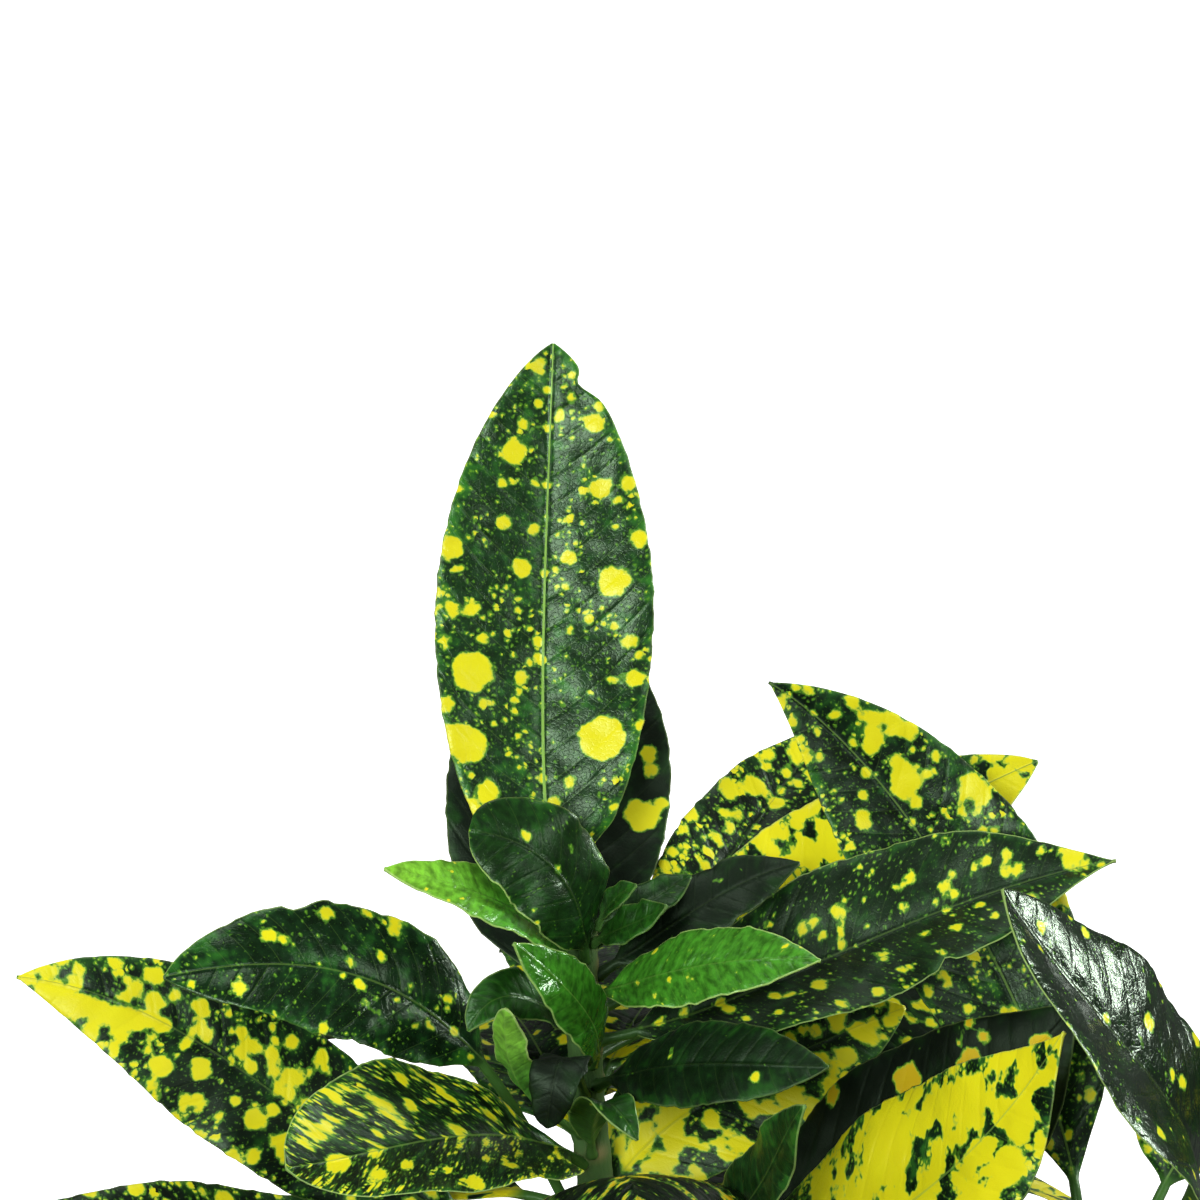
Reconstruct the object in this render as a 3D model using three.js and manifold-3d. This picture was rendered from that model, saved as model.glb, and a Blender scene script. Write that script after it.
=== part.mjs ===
// A potted croton: three leaning stems of spotted leaves in a plain round clay pot.
// Millimetres, +Z up. The origin is the middle of the pot's foot, on the surface it stands on.

import * as THREE from "three";
import { mergeVertices } from "three/addons/utils/BufferGeometryUtils.js";
import Module from "manifold-3d";

const wasm = await Module();
wasm.setup();

// Driving dimensions

const pot = {
  height: 146,
  footRadius: 64,
  shoulderRadius: 87,
  rimRadius: 95,
  rimHeight: 30,
  wall: 7,
  floor: 9,
  edge: 1.5,
  sides: 36,
  drainHoles: 4,
  drainRadius: 6,
  drainCircle: 34,
  drillSides: 12,
};

// The soil stands a little higher in the middle. Its lumps are ripples round and across it.
const soil = {
  top: 131,
  crown: 2,
  lump: 1.6,
  lumpsRound: [5, 3],
  lumpsAcross: [9, -14],
  sides: 32,
  rings: 5,
};

// Clear gap between a leaf stalk's foot and its stem, and between soil and what it touches.
const seatGap = 0.3;

// Each stem runs from its cut foot in the soil to its growing point, along a cubic curve.
const stems = {
  main: {
    curve: [[-12, 4, 62], [-26, 8, 150], [-38, 6, 220], [-37, 0, 292]],
    footRadius: 7,
    tipRadius: 4,
  },
  side: {
    curve: [[20, -6, 62], [40, -14, 150], [85, -16, 180], [140, -18, 218]],
    footRadius: 6,
    tipRadius: 3.6,
  },
  rear: {
    curve: [[0, 26, 62], [8, 36, 150], [12, 46, 200], [10, 52, 240]],
    footRadius: 6,
    tipRadius: 3.6,
  },
};

// Past the share "stemFull" of its length a stem is drawn in to "stemTipClose" of its radius.
const stemSides = 10;
const stemRings = 16;
const stemFull = 0.985;
const stemTipClose = 0.45;

// "across" and "along" are the places where a blade is cut into facets: half widths from the
// midrib, and shares of the blade from stalk to point. The round stalk spreads into the blade
// over the share "merge". "seam" sets the ripples of one edge off from those of the other.
const blade = {
  thickness: 0.8,
  across: [-1, -0.5, 0, 0.5, 1],
  along: [0.06, 0.16, 0.28, 0.41, 0.54, 0.67, 0.79, 0.9, 1],
  tipHalfWidth: 0.5,
  ribDepth: 0.9,
  merge: 0.12,
  seam: 0.35,
  narrow: 15,
};

// A wider blade has a thicker stalk, within limits. A stalk of at least the length "long" is
// cut into facets at one place more.
const stalks = {
  radius: 0.5,
  radiusPerWidth: 0.05,
  largest: 1.5,
  long: 10,
  longCuts: [0.35, 0.7],
  shortCuts: [0.6],
};

// Every leaf starts at a height on its stem and follows a cubic curve through two handles to
// its point. "turn" rolls the blade about that curve, and "fold" lifts its halves to a V.
const shaped = [
  { name: "leaf_upright", stem: "main", height: 284, handles: [[-52, 12, 303], [-47, 50, 378]],
    tip: [-45, 62, 437], width: 61, turn: 2, petiole: 12, fold: 8, cup: 0.02, wave: 1.2,
    waves: 3.2, phase: 0.1, root: 0.6, point: 0.75, nicks: [[0.93, 1, 0.35, 0.02]] },
  { name: "leaf_upright_rear", stem: "main", height: 262, handles: [[-54, 26, 267], [-39, 66, 315]],
    tip: [-42, 86, 360], width: 64, turn: 0, petiole: 12, fold: 8, cup: 0.02, root: 0.55 },
  { name: "leaf_young_curled", stem: "main", height: 280, handles: [[-35, -16, 300], [-44, -18, 319]],
    tip: [-67, -18, 321], width: 31, turn: 78, petiole: 5, fold: 6, root: 0.7, point: 0.4 },
  { name: "leaf_young_lime", stem: "main", height: 277, handles: [[-47, -18, 298], [-66, -28, 309]],
    tip: [-89, -32, 315], width: 19, turn: 42, petiole: 4, fold: 14, wave: 0.6 },
  { name: "leaf_young_glossy", stem: "main", height: 249, handles: [[-28, -20, 265], [-41, -30, 282]],
    tip: [-55, -34, 295], width: 20, turn: 90, petiole: 5, fold: 10, wave: 0.6, point: 0.9 },
  { name: "leaf_young_bright", stem: "main", height: 268, handles: [[-19, -18, 281], [5, -36, 293]],
    tip: [26, -42, 293], width: 23, turn: -48, petiole: 5, fold: 10, wave: 0.8, point: 0.9 },
  { name: "leaf_young_dark", stem: "main", height: 242, handles: [[-13, -26, 261], [8, -44, 264]],
    tip: [28, -52, 267], width: 26, turn: -48, petiole: 6, fold: 10, wave: 0.8 },
  { name: "leaf_right_long", stem: "main", height: 254, handles: [[6, 2, 261], [56, 14, 292]],
    tip: [109, 8, 304], width: 52, turn: -36, petiole: 10, fold: 24, wave: 1.6, widest: 0.52,
    root: 0.6, point: 1.15, nicks: [[0.62, 1, 0.15, 0.015]] },
  { name: "leaf_right_yellow", stem: "main", height: 262, handles: [[0, 18, 273], [48, 58, 298]],
    tip: [93, 68, 314], width: 42, turn: -45, petiole: 14, fold: 12 },
  { name: "leaf_right_back", stem: "main", height: 272, handles: [[-8, 30, 275], [14, 78, 295]],
    tip: [34, 94, 316], width: 35, turn: -35, petiole: 22, fold: 12 },
  { name: "leaf_right_hidden", stem: "main", height: 247, handles: [[4, 60, 253], [56, 78, 235]],
    tip: [104, 78, 250], width: 40, turn: -45, petiole: 32, fold: 10 },
  { name: "leaf_young_slim", stem: "main", height: 273, handles: [[-13, 4, 286], [4, 14, 297]],
    tip: [23, 18, 300], width: 20, turn: -40, petiole: 5, fold: 10 },
  { name: "leaf_bud_tip", stem: "main", height: 288, handles: [[-31, -2, 293], [-28, -3, 298]],
    tip: [-22, -4, 301], width: 9, turn: -40, petiole: 3, fold: 20, wave: 0.3 },
  { name: "leaf_bud_back", stem: "main", height: 287, handles: [[-21, 5, 291], [-13, 8, 296]],
    tip: [-7, 10, 299], width: 13, turn: -30, petiole: 3, fold: 14, wave: 0.3 },
  { name: "leaf_bud_front", stem: "main", height: 284, handles: [[-29, -8, 290], [-21, -14, 293]],
    tip: [-14, -18, 300], width: 13, turn: -50, petiole: 3, fold: 20, wave: 0.6 },
  { name: "leaf_bud_left", stem: "main", height: 257, handles: [[-45, -14, 270], [-60, -24, 285]],
    tip: [-67, -28, 268], width: 17, turn: 50, petiole: 5, fold: 24, wave: 0.9 },
  { name: "leaf_bud_curled", stem: "main", height: 228, handles: [[-52, -22, 246], [-58, -32, 258]],
    tip: [-57, -38, 278], width: 12, turn: 0, petiole: 31, fold: 24, wave: 0.8, point: 0.5 },
  { name: "leaf_bud_shaded", stem: "main", height: 240, handles: [[-41, -31, 269], [-44, -43, 267]],
    tip: [-46, -39, 245], width: 15, turn: 0, petiole: 18, fold: 8, wave: 1.2, point: 0.5 },
  { name: "leaf_bud_low", stem: "main", height: 222, handles: [[-36, -17, 243], [-31, -26, 254]],
    tip: [-22, -31, 238], width: 15, turn: 0, petiole: 6, fold: 24, wave: 1 },
  { name: "leaf_left_upper", stem: "main", height: 196, handles: [[-60, 2, 246], [-78, -5, 292]],
    tip: [-149, -22, 281], width: 41, turn: 50, petiole: 60, fold: 12, wave: 1.5, widest: 0.45,
    root: 0.65, nicks: [[0.64, 1, 0.14, 0.045]] },
  { name: "leaf_left_long", stem: "main", height: 190, handles: [[-88, 8, 186], [-129, 12, 263]],
    tip: [-193, 12, 269], width: 44, turn: 58, petiole: 34, fold: 8, widest: 0.48, point: 0.95 },
  { name: "leaf_left_striped", stem: "main", height: 219, handles: [[-60, -28, 248], [-90, -62, 245]],
    tip: [-113, -78, 249], width: 50, turn: 34, petiole: 8, fold: 16, cup: -0.1, root: 0.45,
    point: 0.45, nicks: [[0.1, 1, 0.7, 0.33]] },
  { name: "leaf_left_low", stem: "main", height: 172, handles: [[-76, -12, 186], [-140, -36, 211]],
    tip: [-203, -46, 214], width: 44, turn: 45, petiole: 30, fold: 10 },
  { name: "leaf_front_striped", stem: "main", height: 206, handles: [[-24, -32, 239], [-20, -70, 239]],
    tip: [-19, -90, 212], width: 60, turn: -3, petiole: 14, fold: 3, cup: 0.3 },
  { name: "leaf_front_young", stem: "main", height: 192, handles: [[12, -32, 204], [12, -58, 246]],
    tip: [21, -72, 264], width: 24, turn: -80, petiole: 24, fold: 10 },
  { name: "leaf_right_spotted", stem: "main", height: 206, handles: [[-20, 18, 224], [14, 22, 240]],
    tip: [54, 34, 252], width: 42, turn: -50, petiole: 4, fold: 8, widest: 0.4, root: 0.45 },
  { name: "leaf_right_golden", stem: "main", height: 170, handles: [[36, -20, 194], [69, -46, 235]],
    tip: [89, -58, 279], width: 62, turn: -58, petiole: 34, fold: 6, widest: 0.45, point: 1.1 },
  { name: "leaf_right_dark", stem: "main", height: 178, handles: [[26, -4, 196], [69, -10, 232]],
    tip: [98, -14, 272], width: 62, turn: -55, petiole: 34, fold: 6, widest: 0.45, point: 1.1 },
  { name: "leaf_side_hooked", stem: "side", height: 190, handles: [[108, 18, 225], [60, 52, 315]],
    tip: [15, 42, 345], width: 56, turn: 45, petiole: 26, fold: 24, point: 1, phase: 0.3 },
  { name: "leaf_side_glossy", stem: "side", height: 204, handles: [[145, -60, 247], [96, -74, 280]],
    tip: [71, -66, 321], width: 64, turn: 56, petiole: 14, fold: 16 },
];

// The leaves round the back and foot of the plant follow one rule. Each row gives a name, the
// stem and height it grows from, a compass direction from +X towards +Y, the length and width,
// the slope at which it leaves the stem and how far its point droops.
const spreading = [
  ["leaf_back_01", "main", 252, 93, 106, 44, 14, 36],
  ["leaf_back_02", "main", 232, 76, 126, 50, 14, 36],
  ["leaf_back_03", "main", 234, 148, 118, 46, 16, 40],
  ["leaf_back_04", "main", 210, 106, 136, 50, 24, 44],
  ["leaf_back_05", "main", 202, 150, 132, 48, 4, 52],
  ["leaf_low_01", "main", 180, 126, 128, 46, 6, 56],
  ["leaf_low_02", "main", 160, 176, 130, 46, 8, 50],
  ["leaf_low_03", "main", 160, -108, 122, 46, 18, 52],
  ["leaf_low_04", "main", 150, -153, 126, 44, 24, 44],
  ["leaf_low_05", "main", 152, -62, 118, 44, 26, 40],
  ["leaf_side_01", "side", 213, 26, 84, 36, 50, 12],
  ["leaf_side_02", "side", 208, -52, 92, 38, 20, 34],
  ["leaf_side_03", "side", 202, 62, 104, 42, 34, 30],
  ["leaf_side_04", "side", 186, -84, 112, 44, 4, 50],
  ["leaf_side_06", "side", 170, -40, 112, 44, 4, 44],
  ["leaf_side_07", "side", 162, 84, 96, 40, 4, 30],
  ["leaf_rear_01", "rear", 236, 80, 80, 34, 38, 10],
  ["leaf_rear_02", "rear", 214, 26, 100, 40, 8, 26],
  ["leaf_rear_03", "rear", 222, 150, 84, 36, -2, 20],
  ["leaf_rear_04", "rear", 216, 66, 116, 44, 34, 30],
  ["leaf_rear_05", "rear", 200, 116, 116, 46, 10, 40],
  ["leaf_rear_06", "rear", 190, 50, 120, 46, 16, 42],
  ["leaf_rear_07", "rear", 176, 88, 124, 46, 12, 50],
  ["leaf_rear_08", "rear", 160, 140, 120, 44, 14, 46],
  ["leaf_rear_09", "rear", 186, 6, 108, 42, 14, 30],
];

// What the spreading leaves share. Handles and point are given as shares of the length.
// "roll" tips each blade a little to one side, and "nextRoll" and "nextPhase" step from row
// to row.
const spread = {
  handles: [0.35, 0.7],
  tip: 0.98,
  earlyDroop: 0.25,
  roll: 12,
  nextRoll: 2.4,
  nextPhase: 0.37,
  petiole: 18,
  wave: 1.4,
};

// Geometry helpers

const up = new THREE.Vector3(0, 0, 1);

function vector(point) {
  return new THREE.Vector3(...point);
}

function mesh(name, geometry, color, roughness) {
  const material = new THREE.MeshStandardMaterial({ color, roughness, metalness: 0 });
  const piece = new THREE.Mesh(geometry, material);
  piece.name = name;
  return piece;
}

function indexed(vertices, faces) {
  const geometry = new THREE.BufferGeometry();
  geometry.setAttribute("position", new THREE.Float32BufferAttribute(vertices, 3));
  geometry.setIndex(faces);
  return geometry;
}

function toSolid(geometry) {
  const plain = geometry.clone();
  plain.deleteAttribute("normal");
  plain.deleteAttribute("uv");
  const merged = mergeVertices(plain, 1e-4);
  const vertProperties = new Float32Array(merged.attributes.position.array);
  const triVerts = new Uint32Array(merged.index.array);
  return new wasm.Manifold(new wasm.Mesh({ numProp: 3, vertProperties, triVerts }));
}

function toGeometry(solid) {
  const { vertProperties, triVerts } = solid.getMesh();
  return indexed(Array.from(vertProperties), Array.from(triVerts));
}

// Joins equal rings of points into one closed skin, with a flat fan over each end.
// Each ring runs anticlockwise when seen from the far end.
function skin(rings) {
  const count = rings[0].length;
  const vertices = rings.flat().flatMap((point) => point.toArray());
  const faces = [];
  for (let i = 0; i + 1 < rings.length; i++) {
    for (let j = 0; j < count; j++) {
      const here = i * count + j;
      const beside = i * count + ((j + 1) % count);
      faces.push(here, beside, beside + count);
      faces.push(here, beside + count, here + count);
    }
  }
  const last = (rings.length - 1) * count;
  for (let j = 1; j + 1 < count; j++) {
    faces.push(0, j + 1, j);
    faces.push(last, last + j, last + j + 1);
  }
  return indexed(vertices, faces);
}

// Pot

const rimFoot = pot.height - pot.rimHeight;

// Radius of the pot's inner wall at a height: a straight cone, one wall in from the outer one.
function potBore(z) {
  return pot.footRadius - pot.wall + ((pot.shoulderRadius - pot.footRadius) * z) / rimFoot;
}

function potGeometry() {
  const outline = [
    [0, 0],
    [pot.footRadius - pot.edge, 0],
    [pot.footRadius, pot.edge],
    [pot.shoulderRadius, rimFoot],
    [pot.rimRadius - 2 * pot.edge, rimFoot],
    [pot.rimRadius - pot.edge, rimFoot + pot.edge],
    [pot.rimRadius, pot.height - pot.edge],
    [pot.rimRadius - pot.edge, pot.height],
    [potBore(pot.height) + pot.edge, pot.height],
    [potBore(pot.height - pot.edge), pot.height - pot.edge],
    [potBore(pot.floor), pot.floor],
    [0, pot.floor],
  ];
  const profile = outline.map(([r, z]) => new THREE.Vector2(r, z));
  const body = new THREE.LatheGeometry(profile, pot.sides).rotateX(Math.PI / 2);
  let solid = toSolid(body);
  for (let i = 0; i < pot.drainHoles; i++) {
    const angle = ((i + 0.5) * 2 * Math.PI) / pot.drainHoles;
    const size = [pot.drainRadius, pot.drainRadius, 3 * pot.floor, pot.drillSides];
    const drill = new THREE.CylinderGeometry(...size).rotateX(Math.PI / 2);
    drill.translate(pot.drainCircle * Math.cos(angle), pot.drainCircle * Math.sin(angle), 0);
    solid = solid.subtract(toSolid(drill));
  }
  return toGeometry(solid);
}

// Stems

function stemCurve(stem) {
  return new THREE.CubicBezierCurve3(...stem.curve.map(vector));
}

function stemRadius(stem, share) {
  return stem.footRadius + (stem.tipRadius - stem.footRadius) * share;
}

// A tapered round rod along the stem's curve, drawn in over the last of it.
function stemGeometry(stem, grow = 0) {
  const curve = stemCurve(stem);
  const rings = [];
  for (let i = 0; i <= stemRings; i++) {
    const last = i === stemRings;
    const share = last ? 1 : (stemFull * i) / (stemRings - 1);
    const radius = (stemRadius(stem, share) + grow) * (last ? stemTipClose : 1);
    const center = curve.getPointAt(share);
    const tangent = curve.getTangentAt(share);
    if (i === 0) center.addScaledVector(tangent, -grow);
    const side = new THREE.Vector3(1, 0, 0).addScaledVector(tangent, -tangent.x).normalize();
    const other = new THREE.Vector3().crossVectors(tangent, side);
    const ring = [];
    for (let j = 0; j < stemSides; j++) {
      const angle = (2 * Math.PI * j) / stemSides;
      const point = center.clone().addScaledVector(side, radius * Math.cos(angle));
      ring.push(point.addScaledVector(other, radius * Math.sin(angle)));
    }
    rings.push(ring);
  }
  return skin(rings);
}

// Where a stem's curve passes a height: point, direction and radius.
function stemAt(stem, height) {
  const curve = stemCurve(stem);
  let low = 0;
  let high = 1;
  for (let step = 0; step < 30; step++) {
    const middle = (low + high) / 2;
    if (curve.getPointAt(middle).z < height) low = middle;
    else high = middle;
  }
  return {
    point: curve.getPointAt(low),
    tangent: curve.getTangentAt(low),
    radius: stemRadius(stem, low),
  };
}

// Soil: fills the pot to below its rim, lumpy on top, with a plain hole for each stem.

function soilGeometry() {
  const clear = 2 * seatGap;
  const ringAt = (radius, height) => {
    const ring = [];
    for (let j = 0; j < soil.sides; j++) {
      const angle = (2 * Math.PI * j) / soil.sides;
      ring.push(new THREE.Vector3(radius * Math.cos(angle), radius * Math.sin(angle), height(angle)));
    }
    return ring;
  };
  const bottom = pot.floor + seatGap;
  const rings = [ringAt(potBore(bottom) - clear, () => bottom)];
  rings.push(ringAt(potBore(soil.top) - clear, () => soil.top));
  for (let i = 1; i < soil.rings; i++) {
    const share = 1 - i / soil.rings;
    const radius = (potBore(soil.top) - clear) * share;
    const ripple = (k, angle) => soil.lumpsRound[k] * angle + soil.lumpsAcross[k] * share;
    const lumps = (angle) => soil.lump * share * Math.sin(ripple(0, angle)) * Math.cos(ripple(1, angle));
    rings.push(ringAt(radius, (angle) => soil.top + soil.crown * (1 - share) + lumps(angle)));
  }
  let solid = toSolid(skin(rings));
  for (const stem of Object.values(stems)) {
    solid = solid.subtract(toSolid(stemGeometry(stem, seatGap)));
  }
  return toGeometry(solid);
}

// Leaves

// Half width along the blade, from 0 at the stalk through 1 at the widest place to 0 at the point.
function outlineShare(t, widest, root, point) {
  const before = Math.max(0, 1 - t / widest);
  const after = Math.max(0, (t - widest) / (1 - widest));
  return Math.pow(1 - before * before, root) * Math.pow(Math.max(0, 1 - after * after), point);
}

function leafGeometry(leaf) {
  const { width, turn, petiole } = leaf;
  const { fold = 12, cup = 0.12, wave = 1.5, waves = 3, phase = 0, nicks = [] } = leaf;
  const { widest = 0.5, root = 0.75, point = 0.8 } = leaf;
  const node = stemAt(stems[leaf.stem], leaf.height);

  // The stalk's foot is a flat seat that stands just clear of the stem, square to its radius.
  const outward = vector(leaf.handles[0]).sub(node.point);
  outward.addScaledVector(node.tangent, -outward.dot(node.tangent)).normalize();
  const seat = node.point.clone().addScaledVector(outward, node.radius + seatGap);
  const handles = leaf.handles.map(vector);
  const curve = new THREE.CubicBezierCurve3(seat, ...handles, vector(leaf.tip));
  const length = curve.getLength();
  const chord = vector(leaf.tip).sub(node.point).normalize();
  const level = new THREE.Vector3().crossVectors(chord, up).normalize();
  const rise = new THREE.Vector3().crossVectors(level, chord);
  const angle = THREE.MathUtils.degToRad(turn);
  const across = level.multiplyScalar(Math.cos(angle)).addScaledVector(rise, Math.sin(angle));
  const lift = THREE.MathUtils.degToRad(fold);
  const stalk = Math.min(stalks.largest, stalks.radius + stalks.radiusPerWidth * width);

  const frameAt = (share) => {
    const center = curve.getPointAt(share);
    const along = curve.getTangentAt(share);
    const side = across.clone().addScaledVector(along, -across.dot(along)).normalize();
    return { center, along, side, face: new THREE.Vector3().crossVectors(side, along) };
  };

  // A ring is five points over the upper face and the same five under it.
  const ring = (frame, upper, lower) => {
    const place = ([x, y]) =>
      frame.center.clone().addScaledVector(frame.side, x).addScaledVector(frame.face, y);
    return [...upper.map(place), ...lower.map(place).reverse()];
  };
  // The stalk's ring has ten points, five on each face.
  const round = (radius) => {
    const arc = (sign) => blade.across.map((u) => {
      const a = (u * 2 * Math.PI) / 5;
      return [radius * Math.sin(a), sign * radius * Math.cos(a)];
    });
    return [arc(1), arc(-1)];
  };
  const flat = (t) => {
    const share = outlineShare(t, widest, root, point);
    const half = (u) => {
      let value = (width / 2) * share;
      for (const [place, side, depth, spread] of nicks) {
        if (Math.sign(u) === side) value *= 1 - depth * Math.exp(-(((t - place) / spread) ** 2));
      }
      return Math.max(value, blade.tipHalfWidth);
    };
    const envelope = Math.pow(Math.sin(Math.PI * t), 0.6);
    const middle = (u) => {
      const shift = u > 0 ? blade.seam : 0;
      const flutter = wave * envelope * u * u * Math.sin(2 * Math.PI * (waves * t + phase + shift));
      return Math.abs(u) * half(u) * Math.sin(lift) - cup * half(u) * u * u + flutter;
    };
    const thick = blade.thickness / 2;
    const rib = blade.ribDepth * (1 - t);
    const upper = blade.across.map((u) => [u * half(u) * Math.cos(lift), middle(u) + thick]);
    const lower = blade.across.map((u) => [
      u * half(u) * Math.cos(lift),
      middle(u) - thick - (u === 0 ? rib : 0),
    ]);
    return [upper, lower];
  };

  // The foot ring is slid along the stalk onto the seat's plane.
  const first = frameAt(0);
  const reach = Math.max(0.4, first.along.dot(outward));
  const foot = ring(first, ...round(stalk)).map((corner) => {
    const off = corner.clone().sub(seat).dot(outward);
    return corner.addScaledVector(first.along, -off / reach);
  });
  const rings = [foot];
  const start = petiole / length;
  for (const share of petiole >= stalks.long ? stalks.longCuts : stalks.shortCuts) {
    rings.push(ring(frameAt(start * share), ...round(stalk)));
  }
  const steps = width < blade.narrow ? blade.along.filter((t, i) => i % 2 === 0) : blade.along;
  for (const t of steps) {
    const frame = frameAt(start + (1 - start) * t);
    const blend = Math.max(0, 1 - t / blade.merge);
    const shapes = flat(t).map((face, k) =>
      face.map(([x, y], j) => {
        const [cx, cy] = round(stalk)[k][j];
        return [x + (cx - x) * blend * 0.5, y + (cy - y) * blend];
      }));
    rings.push(ring(frame, ...shapes));
  }
  return leafSkin(rings);
}

// The upper and lower faces are cut into triangles along the same diagonals.
function leafSkin(rings) {
  const half = blade.across.length;
  const count = 2 * half;
  const vertices = rings.flat().flatMap((corner) => corner.toArray());
  const faces = [];
  const top = (i, j) => i * count + j;
  const under = (i, j) => i * count + count - 1 - j;
  for (let i = 0; i + 1 < rings.length; i++) {
    for (let j = 0; j + 1 < half; j++) {
      faces.push(top(i, j), top(i, j + 1), top(i + 1, j + 1));
      faces.push(top(i, j), top(i + 1, j + 1), top(i + 1, j));
      faces.push(under(i, j), under(i + 1, j + 1), under(i, j + 1));
      faces.push(under(i, j), under(i + 1, j), under(i + 1, j + 1));
    }
    faces.push(under(i, 0), top(i, 0), top(i + 1, 0));
    faces.push(under(i, 0), top(i + 1, 0), under(i + 1, 0));
    faces.push(top(i, half - 1), under(i, half - 1), under(i + 1, half - 1));
    faces.push(top(i, half - 1), under(i + 1, half - 1), top(i + 1, half - 1));
  }
  const last = rings.length - 1;
  for (let j = 0; j + 1 < half; j++) {
    faces.push(under(0, j), top(0, j + 1), top(0, j));
    faces.push(under(0, j), under(0, j + 1), top(0, j + 1));
    faces.push(under(last, j), top(last, j), top(last, j + 1));
    faces.push(under(last, j), top(last, j + 1), under(last, j + 1));
  }
  return indexed(vertices, faces);
}

// Turns one row of the spreading leaves into the same form as the shaped ones.
function spreadLeaf([name, stem, height, compass, length, width, slope, droop], index) {
  const node = stemAt(stems[stem], height);
  const heading = THREE.MathUtils.degToRad(compass);
  const climb = THREE.MathUtils.degToRad(slope);
  const out = new THREE.Vector3(Math.cos(heading), Math.sin(heading), 0);
  const place = (share, drop) => {
    const point = node.point.clone().addScaledVector(out, length * share * Math.cos(climb));
    return point.addScaledVector(up, length * share * Math.sin(climb) - drop).toArray();
  };
  return {
    name,
    stem,
    height,
    handles: [place(spread.handles[0], 0), place(spread.handles[1], droop * spread.earlyDroop)],
    tip: place(spread.tip, droop),
    width,
    turn: spread.roll * Math.sin(spread.nextRoll * index),
    petiole: spread.petiole,
    wave: spread.wave,
    phase: (spread.nextPhase * index) % 1,
  };
}

// Assembly

const group = new THREE.Group();
group.add(mesh("pot", potGeometry(), 0xb5653f, 0.85));
group.add(mesh("soil", soilGeometry(), 0x2e2119, 0.95));
for (const [name, stem] of Object.entries(stems)) {
  group.add(mesh(`stem_${name}`, stemGeometry(stem), 0x6d6a45, 0.8));
}
for (const leaf of shaped) {
  group.add(mesh(leaf.name, leafGeometry(leaf), 0x2a5a24, 0.35));
}
spreading.forEach((row, index) => {
  group.add(mesh(row[0], leafGeometry(spreadLeaf(row, index)), 0x2a5a24, 0.35));
});

export default group;
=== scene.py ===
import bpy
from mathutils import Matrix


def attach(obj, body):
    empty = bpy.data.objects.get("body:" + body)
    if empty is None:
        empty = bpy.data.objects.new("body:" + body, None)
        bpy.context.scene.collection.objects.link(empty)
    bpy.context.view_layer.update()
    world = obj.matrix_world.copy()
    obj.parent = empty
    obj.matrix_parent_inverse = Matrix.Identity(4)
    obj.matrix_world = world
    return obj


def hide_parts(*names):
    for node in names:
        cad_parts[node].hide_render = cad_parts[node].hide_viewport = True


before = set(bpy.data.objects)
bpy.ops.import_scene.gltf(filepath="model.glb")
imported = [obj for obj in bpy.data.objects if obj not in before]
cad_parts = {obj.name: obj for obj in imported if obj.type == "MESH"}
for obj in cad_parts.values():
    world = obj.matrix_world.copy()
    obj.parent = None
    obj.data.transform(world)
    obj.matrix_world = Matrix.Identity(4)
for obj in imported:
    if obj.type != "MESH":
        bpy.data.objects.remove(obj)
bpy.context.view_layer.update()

import math
from functools import partial

import bpy
import numpy as np
from mathutils import Vector

mm = 0.001
fullTurn = 2 * math.pi


def linear(code):
    # sRGB hex code to linear red, green, blue and alpha
    parts = [int(code[i:i + 2], 16) / 255 for i in (0, 2, 4)]
    return [c / 12.92 if c <= 0.04045 else ((c + 0.055) / 1.055) ** 2.4 for c in parts] + [1.0]


def addNode(tree, kind, inputs=(), take=0, stops=(), **settings):
    # one shader node. Inputs go by the order or the names of its sockets, each a plain value or
    # another node's output. Stops are a ramp's places and colours, settings are the node's own
    # choices, and take picks the output that is handed back, or with None the whole node
    node = tree.nodes.new("ShaderNode" + kind)
    for name, value in settings.items():
        setattr(node, name, value)
    for key, value in inputs.items() if isinstance(inputs, dict) else enumerate(inputs):
        if isinstance(value, bpy.types.NodeSocket):
            tree.links.new(value, node.inputs[key])
        else:
            node.inputs[key].default_value = value
    if stops:
        ramp = node.color_ramp.elements
        while len(ramp) < len(stops):
            ramp.new(0.5)
        for element, (share, colour) in zip(ramp, stops):
            element.position, element.color = share, colour
    return node if take is None or not node.outputs else node.outputs[take]


# settings that many nodes share
smooth = {"interpolation_type": "SMOOTHSTEP"}
colourMix = {"take": 2, "data_type": "RGBA"}
flatNoise = {"noise_dimensions": "2D"}


def newMaterial(name, colours=None):
    # an empty material, what adds a node to it, and its colours turned linear
    material = bpy.data.materials.new(name)
    material.use_nodes = True
    material.node_tree.nodes.clear()
    paint = {key: linear(code) for key, code in (colours or {}).items()}
    return material, partial(addNode, material.node_tree), paint


def unit(rows):
    # every row divided by its own length
    return rows / np.linalg.norm(rows, axis=-1, keepdims=True)


def roundAbout(count):
    # equally spaced angles once round a circle
    return np.linspace(0, fullTurn, count, endpoint=False)


def addObject(name, data):
    # an object in the scene, at the origin, unturned and unscaled
    thing = bpy.data.objects.new(name, data)
    bpy.context.scene.collection.objects.link(thing)
    return thing


def addPiece(name, mesh, material, stands):
    # a piece of the plant, riding on its one body
    piece = addObject(name, mesh)
    mesh.materials.append(material)
    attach(piece, "root")
    if stands:
        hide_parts(*stands)
    return piece


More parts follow.
